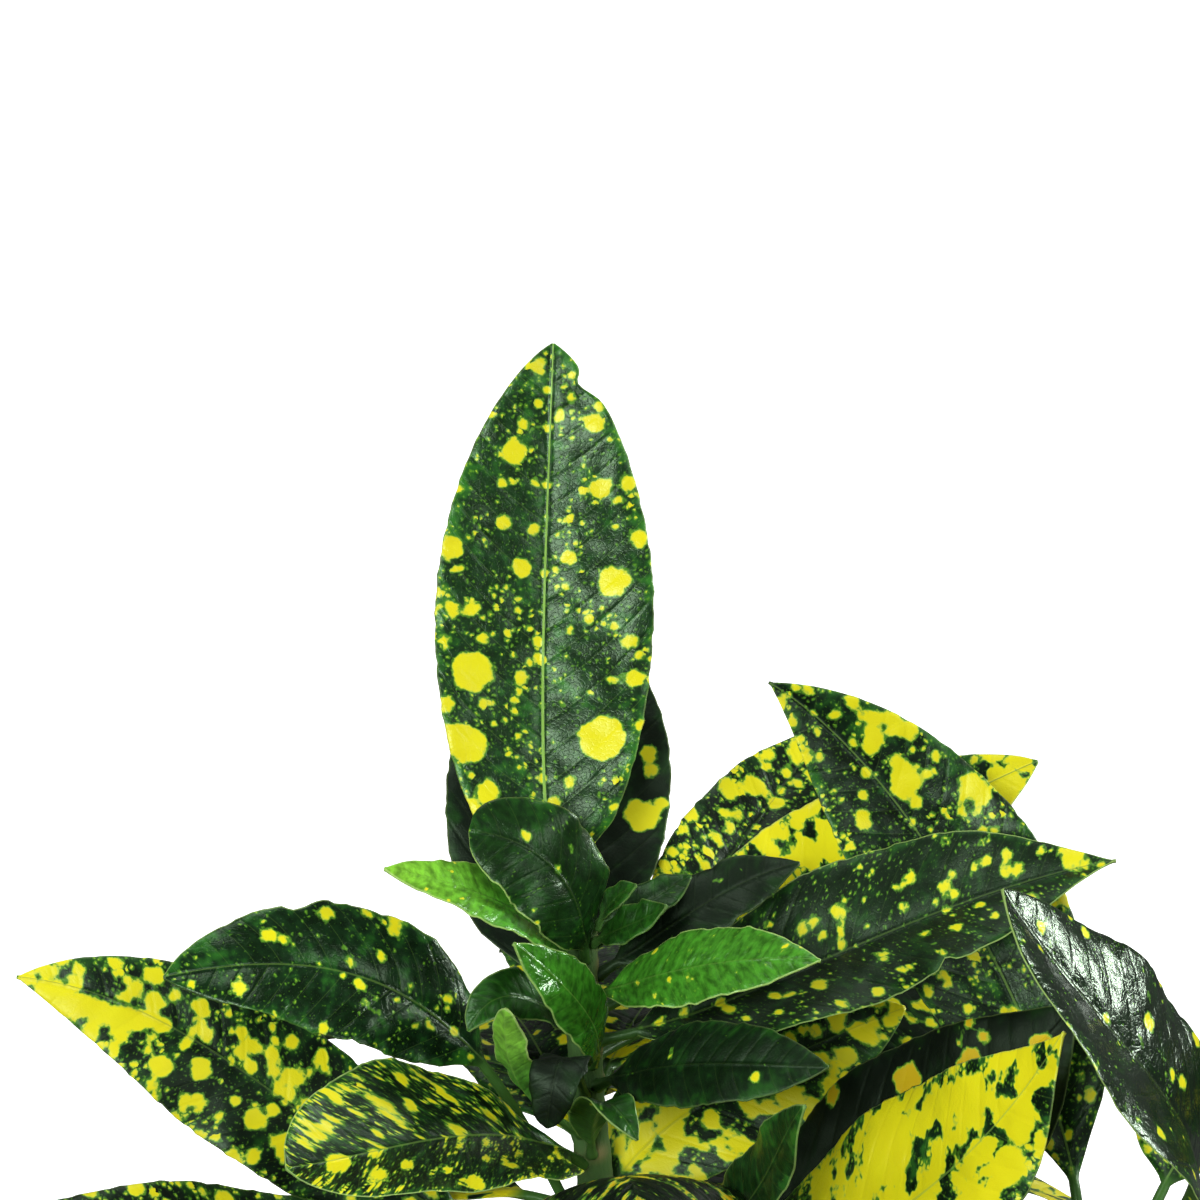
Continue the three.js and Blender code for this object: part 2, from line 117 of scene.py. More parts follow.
def ringSkin(name, rings, material, stands, attributes=None):
    # closed skin over rings of equal count: quads between neighbouring rings, and a fan from the
    # middle of the first and of the last ring. rings is rows x count x 3, in metres. An attribute
    # has one number or three for each point, and their mean at each middle
    rows, count = rings.shape[:2]
    points = np.concatenate([rings.reshape(-1, 3), [rings[0].mean(0), rings[-1].mean(0)]])
    i, j = np.meshgrid(np.arange(rows - 1), np.arange(count), indexing="ij")
    k = (j + 1) % count
    quads = np.stack([i * count + j, i * count + k, (i + 1) * count + k, (i + 1) * count + j], -1)
    a, b, last = np.arange(count), (np.arange(count) + 1) % count, (rows - 1) * count
    fans = [np.stack([np.full(count, rows * count), b, a], -1),
            np.stack([np.full(count, rows * count + 1), last + a, last + b], -1)]
    mesh = bpy.data.meshes.new(name)
    mesh.from_pydata(points, [], quads.reshape(-1, 4).tolist() + np.concatenate(fans).tolist())
    for key, values in (attributes or {}).items():
        layout, cell = ("FLOAT_VECTOR", "vector") if values.ndim == 3 else ("FLOAT", "value")
        values = values.reshape(rows, count, -1)
        values = np.concatenate([*values, [values[0].mean(0), values[-1].mean(0)]])
        layer = mesh.attributes.new(key, layout, "POINT")
        layer.data.foreach_set(cell, values.astype(np.float32).ravel())
    mesh.shade_smooth()
    return addPiece(name, mesh, material, stands)


def cubic(handles, s):
    # points of a cubic curve that starts and ends at its outer handles and leans to the inner two
    a, b, c, d = handles
    return a * (1 - s) ** 3 + 3 * b * s * (1 - s) ** 2 + 3 * c * s ** 2 * (1 - s) + d * s ** 3


def arcCurve(handles, shares):
    # cubic curve read at shares of its length: points, directions and the length
    handles = [np.array(h, float) for h in handles]
    s = np.linspace(0, 1, 401)
    steps = np.linalg.norm(np.diff(cubic(handles, s[:, None]), axis=0), axis=1)
    run = np.concatenate([[0], np.cumsum(steps)])
    s = np.interp(np.asarray(shares) * run[-1], run, s)[:, None]
    a, b, c, d = handles
    heading = (b - a) * (1 - s) ** 2 + 2 * (c - b) * s * (1 - s) + (d - c) * s ** 2
    return cubic(handles, s), unit(heading), run[-1]


view = {
    "distance": 1.2, "elevation": 15.0, "lookAt": (-0.032, 0.0, 0.380),
    "lens": 134.82, "film": 36.0, "farthest": 40.0,
}
camera = addObject("photoCamera", bpy.data.cameras.new("photoCamera"))
camera.data.lens, camera.data.sensor_width = view["lens"], view["film"]
camera.data.clip_end = view["farthest"]
rise = math.radians(view["elevation"])
back = Vector((0.0, -math.cos(rise), math.sin(rise)))
camera.location = Vector(view["lookAt"]) + back * view["distance"]
camera.rotation_euler = (-back).to_track_quat("-Z", "Y").to_euler()
bpy.context.scene.camera = camera
bpy.context.scene.view_settings.view_transform = "Standard"

# Soft daylight in a white studio: a main window ahead, weaker ones on the left and on the right
# of it, a soft sky above, and behind the plant a narrow bright window on the right and a weak
# wide one. The floor glows far from the plant, so it is white there and shaded near it.
studio = {
    "radius": 9.0, "sides": 96, "screenFoot": -9, "screenTop": 12, "screenGlow": 1.1,
    "paper": 0.82, "shadeFrom": 0.12, "shadeTo": 0.5, "glowNear": 0.25, "glowFar": 1.0,
    "ambient": 0.12, "aim": (0, 0, 0.27),
    # place, width, height and strength of each soft light, all aimed at the crown
    "lights": {
        "windowFront": ((-0.65, -2.25, 1.2), 0.8, 0.8, 38.0),
        "windowLeft": ((-2.0, -1.1, 1.0), 0.9, 0.9, 15.0),
        "windowSide": ((1.5, -1.5, 1.2), 0.9, 0.9, 11.0),
        "skyAbove": ((-0.3, 0.3, 2.4), 1.2, 1.2, 12.0),
        "windowRight": ((2.2, 0.65, 1.15), 0.3, 0.8, 44.0),
        "windowBack": ((1.0, 2.1, 1.4), 1.0, 1.0, 5.0),
    },
}
world = bpy.data.worlds.new("softRoom")
bpy.context.scene.world = world
world.use_nodes = True
room = world.node_tree.nodes["Background"].inputs
room[0].default_value, room[1].default_value = (1.0, 1.0, 1.0, 1.0), studio["ambient"]

paper, add, _ = newMaterial("whitePaperSweep")
away = add("VectorMath", [add("TexCoord", take=3)], take=1, operation="LENGTH")
glow = add("MapRange", [away, studio["shadeFrom"], studio["shadeTo"], studio["glowNear"],
                        studio["glowFar"]], **smooth)
matt = add("BsdfDiffuse", {"Color": [studio["paper"]] * 3 + [1.0]})
glow = add("Emission", {"Strength": glow})
add("OutputMaterial", [add("AddShader", [glow, matt])])
screen, add, _ = newMaterial("whiteScreen")
add("OutputMaterial", [add("Emission", {"Strength": studio["screenGlow"]})])

# floor: a round sheet. screen: a tall ring round it. Neither one lights the plant
n = studio["sides"]
around = roundAbout(n)
edge = np.stack([np.cos(around), np.sin(around), 0 * around], -1) * studio["radius"]
sheet, wall = bpy.data.meshes.new("floor"), bpy.data.meshes.new("screen")
sheet.from_pydata(edge, [], [list(range(n))])
wall.from_pydata(
    np.concatenate([edge + [0, 0, studio["screenFoot"]], edge + [0, 0, studio["screenTop"]]]), [],
    [[i, (i + 1) % n, n + (i + 1) % n, n + i] for i in range(n)])
for mesh, finish in ((sheet, paper), (wall, screen)):
    thing = addObject(mesh.name, mesh)
    thing.visible_diffuse = thing.visible_glossy = False
    thing.visible_shadow = mesh is sheet
    mesh.materials.append(finish)

for name, (spot, width, height, power) in studio["lights"].items():
    lamp = bpy.data.lights.new(name, "AREA")
    lamp.shape, lamp.size, lamp.size_y, lamp.energy = "ELLIPSE", width, height, power
    holder = addObject(name, lamp)
    holder.location = spot
    aim = Vector(studio["aim"]) - Vector(spot)
    holder.rotation_euler = aim.to_track_quat("-Z", "Y").to_euler()
print("camera and light ready")

# The three stems: handles of each curve, radius at the foot and at the tip, all in mm
stems = {
    "main": {"handles": [(-12, 4, 62), (-26, 8, 150), (-38, 6, 220), (-37, 0, 292)],
             "radii": (7.0, 4.0)},
    "side": {"handles": [(20, -6, 62), (40, -14, 150), (85, -16, 180), (140, -18, 218)],
             "radii": (6.0, 3.6)},
    "rear": {"handles": [(0, 26, 62), (8, 36, 150), (12, 46, 200), (10, 52, 240)],
             "radii": (6.0, 3.6)},
}


def stemAt(stem, height):
    # where a stem passes a height: point, direction and radius, in mm
    shares = np.linspace(0, 1, 2001)
    points, headings, _ = arcCurve(stems[stem]["handles"], shares)
    k = int(np.argmin(np.abs(points[:, 2] - height)))
    foot, tip = stems[stem]["radii"]
    return points[k], headings[k], foot + (tip - foot) * shares[k]


# What every leaf has unless its own entry says otherwise: lengths in mm, angles in degrees.
# stem and height say where it grows, and curve holds the handles of its midrib, the last of them
# its tip. turn rolls the blade round its curve, fold lifts its halves, cup bends them down again,
# wave is how far the edge ripples, widest, root and point shape the outline, nicks are torn places
# (share along, side, depth, spread) and fine is how closely the skin is divided.
# young goes from old dark green to lime, shade is painted shade, with some of the leaf's own darker
# green in it, that darkens the greens and warms the yellow, gloss is how shiny the wax is, rim how
# pale the edge is, rimSide the only side that has it, midrib how pale the line down the middle is,
# and frill how uneven the edge is, in mm.
# speckle is how thick the fine spots lie, blotches how many large ones there are in each 10 cm2,
# blotchSize their largest radius, gold how far they run together into sheets, streak how far
# they are drawn out along the side veins, and marks are blotches that stand where the leaf has
# them: per cent along the blade, per cent across its half and radius.
usual = {
    "stem": "main", "turn": 0, "petiole": 18, "fold": 12, "cup": 0.12, "wave": 1.5, "waves": 3,
    "phase": 0, "widest": 0.5, "root": 0.75, "point": 0.8, "nicks": (), "fine": 1, "young": 0,
    "shade": 0, "gloss": 0.3, "rim": 0.15, "rimSide": 0, "midrib": 0.6, "frill": 0.15,
    "speckle": 0.5, "blotches": 5, "blotchSize": 4.5, "gold": 0, "streak": 0.2, "marks": (),
}
usualYoung = {"petiole": 5, "fold": 10, "rim": 0.1, "midrib": 0.1, "frill": 0.25, "blotches": 0}
youngNames = ("leaf_young", "leaf_bud")

leaves = {
    "leaf_upright": dict(height=284, curve=[(-52, 12, 303), (-47, 50, 378), (-45, 62, 437)],
        width=61, turn=2, petiole=12, fold=8, cup=0.02, wave=1.2, waves=3.2, phase=0.1, root=0.6,
        point=0.75, nicks=[(0.93, 1, 0.35, 0.02)], young=0.05, rim=0.2, midrib=1, speckle=0.9,
        blotches=0, streak=0.05, marks=[(96, -56, 2.1), (80, -46, 3.5), (73, -99, 1.3),
        (62, -92, 3.5), (67, -43, 1.9), (66, -14, 1.6), (59, -23, 2.7), (51, -84, 2.4),
        (51, -68, 1.6), (51, -99, 1.3), (40, -67, 5.6), (46, -55, 1.6), (39, -21, 2.1),
        (45, -92, 1.9), (27, -79, 5.1), (28, -99, 4.3), (34, -96, 2.4), (19, -68, 3.2),
        (16, -99, 2.9), (28, 61, 6.4), (46, 79, 2.4), (39, 86, 2.7), (57, 64, 4.3), (74, 58, 3.2),
        (86, 68, 2.7), (75, 90, 2.4), (65, 90, 2.7), (61, 22, 2.1), (87, 15, 1.6), (20, 29, 1.9),
        (16, 11, 2.1), (48, 25, 1.3), (39, 64, 1.3), (46, -5, 1.3), (90, 40, 1.3)]),
    "leaf_upright_rear": dict(height=262, curve=[(-54, 26, 267), (-39, 66, 315), (-42, 86, 360)],
        width=64, petiole=12, fold=8, cup=0.02, root=0.55, shade=0.86, gloss=0, speckle=0.1,
        blotches=1.6, streak=0, marks=[(44, 77, 4.5), (56, 82, 2.1), (48, 92, 2.1),
        (46, 70, 2.7)]),
    "leaf_young_curled": dict(height=280,
        curve=[(-35, -16, 300), (-44, -18, 319), (-67, -18, 321)], width=31, turn=78, fold=6,
        root=0.7, point=0.4, fine=1.3, young=0.12, shade=0.62, gloss=0.5, rim=0.7, rimSide=-1,
        speckle=0.36, marks=[(73, 18, 1.1), (52, 6, 1.1), (53, 49, 0.8)]),
    "leaf_young_lime": dict(height=277, curve=[(-47, -18, 298), (-66, -28, 309), (-89, -32, 315)],
        width=19, turn=42, petiole=4, fold=14, wave=0.6, fine=1.4, young=0.85, rim=0.5,
        speckle=0.45, blotches=0.8, blotchSize=1.3),
    "leaf_young_glossy": dict(height=249,
        curve=[(-28, -20, 265), (-41, -30, 282), (-55, -34, 295)], width=20, turn=90, wave=0.6,
        point=0.9, fine=1.4, young=0.5, shade=0.3, gloss=1, rim=0.4, midrib=0.3, speckle=0.15),
    "leaf_young_bright": dict(height=268, curve=[(-19, -18, 281), (5, -36, 293), (26, -42, 293)],
        width=23, turn=-48, wave=0.8, point=0.9, fine=1.4, young=0.68, shade=0.2, gloss=0.6,
        rim=0.6, midrib=0.15, frill=0.22, speckle=0.36, streak=0.3, marks=[(20, 10, 0.8),
        (37, 21, 0.8), (26, -87, 0.8), (32, 69, 0.8)]),
    "leaf_young_dark": dict(height=242, curve=[(-13, -26, 261), (8, -44, 264), (28, -52, 267)],
        width=26, turn=-48, petiole=6, wave=0.8, fine=1.3, young=0.06, shade=0.68, gloss=0.1,
        midrib=0.05, frill=0.2, speckle=0.2, marks=[(74, 38, 1.6)]),
    "leaf_right_long": dict(height=254, curve=[(6, 2, 261), (56, 14, 292), (109, 8, 304)],
        width=52, turn=-36, petiole=10, fold=24, wave=1.6, widest=0.52, root=0.6, point=1.15,
        nicks=[(0.62, 1, 0.15, 0.015)], young=0.05, shade=0.7, gloss=0.15, rim=0.6, midrib=0.4,
        blotches=8, blotchSize=1.6, streak=0.25, marks=[(92, -63, 2.7), (76, -76, 1.3),
        (80, -56, 1.6), (76, -48, 1.3), (61, -50, 1.3), (69, -38, 1.1), (70, -87, 1.1),
        (58, -20, 1.3), (68, -15, 1.3), (66, 43, 1.9), (72, 17, 1.3), (74, 52, 1.3),
        (41, -26, 1.1), (50, -16, 1.1), (45, -46, 1.3), (37, 41, 2.4), (53, 70, 1.6),
        (47, 85, 1.9), (58, -46, 0.8), (32, -67, 1.1), (53, -83, 0.8)]),
    "leaf_right_yellow": dict(height=262, curve=[(0, 18, 273), (48, 58, 298), (93, 68, 314)],
        width=42, turn=-45, petiole=14, shade=0.4, rim=0.5, speckle=1.3, blotches=6,
        blotchSize=3, gold=0.55, streak=0.1),
    "leaf_right_back": dict(height=272, curve=[(-8, 30, 275), (14, 78, 295), (34, 94, 316)],
        width=35, turn=-35, petiole=22, shade=0.82, rim=0.1, midrib=0.3, speckle=1.2,
        blotches=28, blotchSize=2.4, streak=0.1),
    "leaf_right_hidden": dict(height=247, curve=[(4, 60, 253), (56, 78, 235), (104, 78, 250)],
        width=40, turn=-45, petiole=32, fold=10, shade=0.6, gloss=0.2, speckle=0.3, blotchSize=3,
        marks=[(58, 31, 3.5), (62, 55, 1.3), (64, 32, 1.1), (66, 67, 1.6), (56, 63, 1.1),
        (73, 61, 1.3), (57, 99, 0.8)]),
    "leaf_young_slim": dict(height=273, curve=[(-13, 4, 286), (4, 14, 297), (23, 18, 300)],
        width=20, turn=-40, young=0.05, shade=0.97, gloss=0.05, rim=0.05, midrib=0.2, speckle=0.2),
    "leaf_bud_tip": dict(height=288, curve=[(-31, -2, 293), (-28, -3, 298), (-22, -4, 301)],
        width=9, turn=-40, petiole=3, fold=20, wave=0.3, young=0.3, shade=0.45, speckle=0),
    "leaf_bud_back": dict(height=287, curve=[(-21, 5, 291), (-13, 8, 296), (-7, 10, 299)],
        width=13, turn=-30, petiole=3, fold=14, wave=0.3, young=0.15, shade=0.6, speckle=0),
    "leaf_bud_front": dict(height=284, curve=[(-29, -8, 290), (-21, -14, 293), (-14, -18, 300)],
        width=13, turn=-50, petiole=3, fold=20, wave=0.6, young=0.3, shade=0.55, speckle=0.1),
    "leaf_bud_left": dict(height=257, curve=[(-45, -14, 270), (-60, -24, 285), (-67, -28, 268)],
        width=17, turn=50, fold=24, wave=0.9, young=0.25, shade=0.45, rim=0.3, midrib=0.2,
        speckle=0.1, streak=0.6),
    "leaf_bud_curled": dict(height=228, curve=[(-52, -22, 246), (-58, -32, 258), (-57, -38, 278)],
        width=12, petiole=31, fold=24, wave=0.8, point=0.5, young=0.95, rim=0.9, midrib=0.4,
        speckle=0.1, blotches=2, blotchSize=2),
    "leaf_bud_shaded": dict(height=240, curve=[(-41, -31, 269), (-44, -43, 267), (-46, -39, 245)],
        width=15, petiole=18, fold=8, wave=1.2, point=0.5, shade=1, gloss=0, rim=0,
        speckle=0.1, blotches=0.5, blotchSize=1.2),
    "leaf_bud_low": dict(height=222, curve=[(-36, -17, 243), (-31, -26, 254), (-22, -31, 238)],
        width=15, petiole=6, fold=24, wave=1, young=0.25, shade=0.55, rim=0.5, midrib=0.2,
        speckle=0.2, blotches=1, blotchSize=1.4),
    "leaf_left_upper": dict(height=196, curve=[(-60, 2, 246), (-78, -5, 292), (-149, -22, 281)],
        width=41, turn=50, petiole=60, widest=0.45, root=0.65, nicks=[(0.64, 1, 0.14, 0.045)],
        young=0.03, shade=0.25, gloss=0.55, rim=0.5, rimSide=1, midrib=0.25, frill=0.25,
        speckle=0.45, blotches=0, streak=0.1, marks=[(71, 49, 2.1), (67, 38, 1.3), (56, 80, 1.6),
        (56, 69, 1.3), (46, 92, 1.3), (42, 86, 0.8), (39, 95, 1.6), (39, 78, 1.6), (57, 6, 0.8),
        (49, 15, 1.3), (45, -12, 1.6), (41, 38, 1.3), (50, -6, 0.8), (19, 40, 1.6), (20, 97, 0.8),
        (30, 16, 0.8), (80, -55, 2.1), (80, -28, 0.8), (93, -63, 1.1), (55, -91, 1.9),
        (43, -38, 1.1), (40, -24, 0.8), (39, -45, 0.8), (25, -35, 1.1), (21, -24, 1.3),
        (13, 0, 1.3)]),
    "leaf_left_long": dict(height=190, curve=[(-88, 8, 186), (-129, 12, 263), (-193, 12, 269)],
        width=44, turn=58, petiole=34, fold=8, widest=0.48, point=0.95, shade=0.62, gloss=0.2,
        rim=0.1, midrib=0.35, speckle=0.8, blotches=16, blotchSize=2, streak=0.1,
        marks=[(98, 7, 1.3), (94, -65, 3.5), (91, -65, 4.3), (87, -50, 3.7), (83, -39, 4),
        (78, -28, 4.3), (74, -8, 3.2), (71, -5, 2.9), (83, -90, 2.7), (77, -91, 1.6),
        (77, -55, 2.1), (89, 55, 1.9), (93, 61, 1.3), (83, 82, 1.9), (78, 43, 1.9), (79, 15, 1.6),
        (76, 68, 2.7), (74, 24, 2.7), (71, 45, 1.9), (66, 45, 2.7), (65, 11, 1.3), (71, -51, 1.3),
        (67, -58, 3.5), (60, -29, 3.2), (59, -99, 1.9), (52, -67, 1.6), (53, -99, 1.6),
        (45, -99, 2.7), (42, -83, 2.1), (57, 40, 2.1), (54, 34, 2.1), (55, 19, 2.1), (50, 40, 2.1),
        (48, 24, 2.1), (52, 9, 2.1), (44, 31, 2.7), (42, 48, 1.3), (45, 7, 2.1), (51, -38, 1.3),
        (46, -41, 3.2), (44, -19, 1.9), (39, -17, 1.3), (39, -47, 2.7), (37, -61, 1.9),
        (48, 67, 1.9), (42, 76, 2.1)]),
    "leaf_left_striped": dict(height=219,
        curve=[(-60, -28, 248), (-90, -62, 245), (-113, -78, 249)], width=50, turn=34, petiole=8,
        fold=16, cup=-0.1, root=0.45, point=0.45, nicks=[(0.1, 1, 0.7, 0.33)], shade=0.4, rim=0.6,
        midrib=0.5, speckle=0.85, blotches=12, blotchSize=1.1, streak=0.85, marks=[(86, -9, 3.7),
        (79, -45, 2.7), (69, -34, 2.1), (60, -54, 1.9), (57, -84, 3.2), (41, -66, 2.1),
        (45, -46, 1.6), (74, -4, 1.9), (84, 50, 1.6), (88, 43, 1.3), (79, 80, 2.1), (57, 41, 1.9),
        (57, 70, 2.1), (70, 19, 1.3), (45, 53, 1.3), (60, 97, 1.3), (29, 54, 1.3)]),
    "leaf_left_low": dict(height=172, curve=[(-76, -12, 186), (-140, -36, 211), (-203, -46, 214)],
        width=44, turn=45, petiole=30, fold=10, shade=0.86, speckle=0.7, blotches=4,
        blotchSize=3.2, streak=0.15, marks=[(77, 99, 1.9), (69, 93, 2.4), (57, 88, 1.3)]),
    "leaf_front_striped": dict(height=206,
        curve=[(-24, -32, 239), (-20, -70, 239), (-19, -90, 212)], width=60, turn=-3, petiole=14,
        fold=3, cup=0.3, shade=1, midrib=0.2, speckle=0.4, blotches=28, blotchSize=1,
        streak=1),
    "leaf_front_young": dict(height=192, curve=[(12, -32, 204), (12, -58, 246), (21, -72, 264)],
        width=24, turn=-80, petiole=24, fold=10, young=0.08, shade=0.3, gloss=0.1, rim=0.3,
        midrib=0.2, speckle=0.2, blotches=0),
    "leaf_right_spotted": dict(height=206, curve=[(-20, 18, 224), (14, 22, 240), (54, 34, 252)],
        width=42, turn=-50, petiole=4, fold=8, widest=0.4, root=0.45, shade=0.6, gloss=0.05,
        rim=0.2, midrib=0.2, speckle=0.6, blotches=36, blotchSize=3, streak=0.1,
        marks=[(78, 51, 2.7), (74, 50, 1.3), (83, 95, 1.3), (70, 75, 2.9), (61, 88, 3.2),
        (57, 55, 3.2), (22, 1, 4), (19, 28, 2.7), (15, 45, 2.7), (13, 28, 1.6), (27, -5, 2.1),
        (33, 26, 2.9), (25, 43, 1.6), (30, 57, 1.3), (31, 81, 1.9), (45, 42, 2.4), (50, 53, 2.4),
        (56, 52, 3.2), (61, 92, 3.2), (6, 76, 1.3)]),
    "leaf_right_golden": dict(height=170, curve=[(36, -20, 194), (69, -46, 235), (89, -58, 279)],
        width=62, turn=-58, petiole=34, fold=6, widest=0.45, point=1.1, rim=0.3, midrib=0.4,
        speckle=0.7, blotches=4, blotchSize=3, gold=0.56, streak=0.15, marks=[(46, -56, 10.1),
        (71, -47, 6.9), (80, 29, 5.9), (73, 56, 5.9)]),
    "leaf_right_dark": dict(height=178, curve=[(26, -4, 196), (69, -10, 232), (98, -14, 272)],
        width=62, turn=-55, petiole=34, fold=6, widest=0.45, point=1.1, shade=1, gloss=0,
        midrib=0, speckle=0.2, blotches=1, blotchSize=2.4, marks=[(70, -41, 4.3),
        (55, -63, 4.5), (77, -67, 1.9), (76, -95, 1.6), (86, 5, 3.7)]),
    "leaf_side_hooked": dict(stem="side", height=190,
        curve=[(108, 18, 225), (60, 52, 315), (15, 42, 345)], width=56, turn=45, petiole=26,
        fold=24, phase=0.3, point=1, shade=0.4, gloss=0.2, rim=0.1, midrib=0.5, speckle=0.75,
        blotches=8, blotchSize=2, streak=0.05, marks=[(94, 83, 1.6), (88, 34, 1.6),
        (85, 64, 1.3), (83, 71, 2.7), (81, 49, 2.9), (80, 30, 2.4), (81, 89, 2.4), (78, 86, 2.9),
        (80, 88, 2.1), (72, 28, 4.3), (75, 37, 2.1), (71, 17, 2.7), (72, 79, 1.6), (68, 20, 1.9),
        (77, -8, 1.6), (65, 85, 3.2), (63, 83, 2.9), (66, 81, 1.9), (61, 66, 1.3), (57, 70, 1.3),
        (88, -30, 1.3), (71, -54, 2.4), (72, -50, 1.9)]),
    "leaf_side_glossy": dict(stem="side", height=204,
        curve=[(145, -60, 247), (96, -74, 280), (71, -66, 321)], width=64, turn=56, petiole=14,
        fold=16, young=0.08, shade=0.86, gloss=1, rim=0.6, rimSide=-1, midrib=0.4, speckle=0.42,
        blotches=0, streak=0.1, marks=[(89, 28, 1.6), (87, -16, 1.1), (79, 85, 1.9),
        (55, 43, 2.4), (53, 98, 1.3), (57, 66, 1.1), (36, 93, 2.1), (66, 5, 1.3), (43, 25, 1.6),
        (39, 33, 2.1), (50, -73, 1.9), (77, -97, 0.8), (60, -88, 0.8), (56, -86, 0.8),
        (38, -73, 1.3), (69, -97, 1.1)]),
}

# The leaves round the back and foot follow one rule. Under the name and the stem of a group stand
# its leaves: number, height on the stem, compass direction, length, width, slope away from the
# stem and droop of the point.
spreading = {
    ("leaf_back", "main"): [(1, 252, 93, 106, 44, 14, 36), (2, 232, 76, 126, 50, 14, 36),
        (3, 234, 148, 118, 46, 16, 40), (4, 210, 106, 136, 50, 24, 44),
        (5, 202, 150, 132, 48, 4, 52)],
    ("leaf_low", "main"): [(1, 180, 126, 128, 46, 6, 56), (2, 160, 176, 130, 46, 8, 50),
        (3, 160, -108, 122, 46, 18, 52), (4, 150, -153, 126, 44, 24, 44),
        (5, 152, -62, 118, 44, 26, 40)],
    ("leaf_side", "side"): [(1, 213, 26, 84, 36, 50, 12), (2, 208, -52, 92, 38, 20, 34),
        (3, 202, 62, 104, 42, 34, 30), (4, 186, -84, 112, 44, 4, 50), (6, 170, -40, 112, 44, 4, 44),
        (7, 162, 84, 96, 40, 4, 30)],
    ("leaf_rear", "rear"): [(1, 236, 80, 80, 34, 38, 10), (2, 214, 26, 100, 40, 8, 26),
        (3, 222, 150, 84, 36, -2, 20), (4, 216, 66, 116, 44, 34, 30),
        (5, 200, 116, 116, 46, 10, 40), (6, 190, 50, 120, 46, 16, 42),
        (7, 176, 88, 124, 46, 12, 50), (8, 160, 140, 120, 44, 14, 46),
        (9, 186, 6, 108, 42, 14, 30)],
}
rows = [("%s_%02d" % (group, row[0]), stem, *row[1:])
        for (group, stem), table in spreading.items() for row in table]
for index, (name, stem, height, compass, length, width, slope, droop) in enumerate(rows):
    foot = stemAt(stem, height)[0]
    heading, climb = math.radians(compass), math.radians(slope)
    reach = length * np.array([math.cos(heading) * math.cos(climb),
                               math.sin(heading) * math.cos(climb), math.sin(climb)])
    down = np.array([0, 0, droop])
    leaves[name] = dict(
        stem=stem, height=height, width=width, wave=1.4, phase=(0.37 * index) % 1, fine=0.7,
        curve=[foot + 0.35 * reach, foot + 0.7 * reach - 0.25 * down, foot + 0.98 * reach - down],
        turn=12 * math.sin(2.4 * index), shade=(0.2, 0.35)[index % 2],
        blotches=(4.0, 9.0, 5.0, 14.0, 2.0)[index % 5], blotchSize=3.0 + 1.6 * (index % 3) / 2,
        gold=(0.0, 0.4, 0.0, 0.0, 0.55)[index % 5], streak=(0.1, 0.4, 0.25)[index % 3],
        speckle=(0.6, 0.4, 0.5)[index % 3])
for name, leaf in leaves.items():
    leaves[name] = {**usual, **(usualYoung if name.startswith(youngNames) else {}), **leaf}

# How a leaf is built, in mm. merge and flare are the shares of the blade that the stalk and its
# width run into, seam is how much of a wave the two edges differ by, edgeLoop where in the half
# width the last column but one stands, and edgeRound the power that rounds the edge. rib, groove
# and crease are the height or depth and the half width of what runs down the middle, and
# ridgeRound how blunt the fold is there. ripples and crimp are the length, height and phase of the
# sines that make the edge uneven, out and up. quiltFade is how near the midrib and the edge the
# bulges between the veins fade, veinLeast how much of their spacing the veins of a tiny leaf keep,
# and swell how much thicker the stalk's foot is, and over which length. The two crowdings draw
# the rows to the tip and the columns to the midrib
anatomy = {
    "thickness": 0.8, "edgeRound": 14, "edgeLoop": 0.985, "tipHalf": 0.5, "seam": 0.35,
    "rib": (0.9, 1.2), "groove": (0.35, 1.6), "crease": (0.3, 0.45), "quilt": 0.1, "quiltFade": 5,
    "ripples": [(1.5, 1, 1), (0.85, 0.7, 2.1), (0.6, 0.5, 3.3)], "crimp": (1.2, 0.8, 1.7),
    "veinSpacing": 8.5, "veinLeast": 0.45, "veinSlant": 0.55, "veinBend": 0.012,
    "merge": 0.12, "flare": 0.05, "ridgeRound": 0.04, "rowCrowding": 1.08, "columnCrowding": 0.65,
    "stalkBase": 0.5, "stalkPerWidth": 0.05, "stalkLargest": 1.5, "swell": (0.45, 1.6),
    "stemGap": 0.3, "rootDepth": 1.2, "rowsPerMm": 0.62, "columns": 20, "wideLeaf": 60,
}
# Random blotches: how much of length times width is blade, from where to where along it they
# stand, the smallest radius and the power that makes large ones rare, the place and size of the
# neighbour that each has, in radii, and in mm how softly they run together and how far off they
# are still told. markSlant is how much of the slant a mark has, and a streak over steepFrom is
# made steeper
blotching = {
    "bladeShare": 0.7, "along": (0.03, 0.99), "smallest": 0.8, "rarity": 2.0, "lobeAt": 0.8,
    "lobeSize": 0.62, "soft": 0.5, "farthest": 6, "markSlant": 0.4, "steepFrom": 0.5,
    "steeper": 2.2,
}
# What the pattern is told of a leaf: how much finer a streaked one's spots are, and to which
# power, the midrib's half width in mm on a tiny leaf, what a wide one adds and how much of it the
# tip lacks, how faint the rim is on the other side, how young the foot of the blade is and what
# the tip adds, and the mm from leaf to leaf in the pattern
pattern = {
    "finer": (0.9, 1.5), "ribHalf": (0.25, 0.3), "ribTaper": 0.6, "otherRim": 0.15,
    "youth": (0.72, 0.45), "leafStep": (61.7, 37.3),
}


def outlineShare(t, leaf):
    # half width along the blade: one minus a square before and after the widest place, each to
    # its own power, so the blade is round at the stalk and comes to a point at the tip
    before = np.maximum(0, 1 - t / leaf["widest"])
    after = np.maximum(0, (t - leaf["widest"]) / (1 - leaf["widest"]))
    return (1 - before ** 2) ** leaf["root"] * np.maximum(0, 1 - after ** 2) ** leaf["point"]


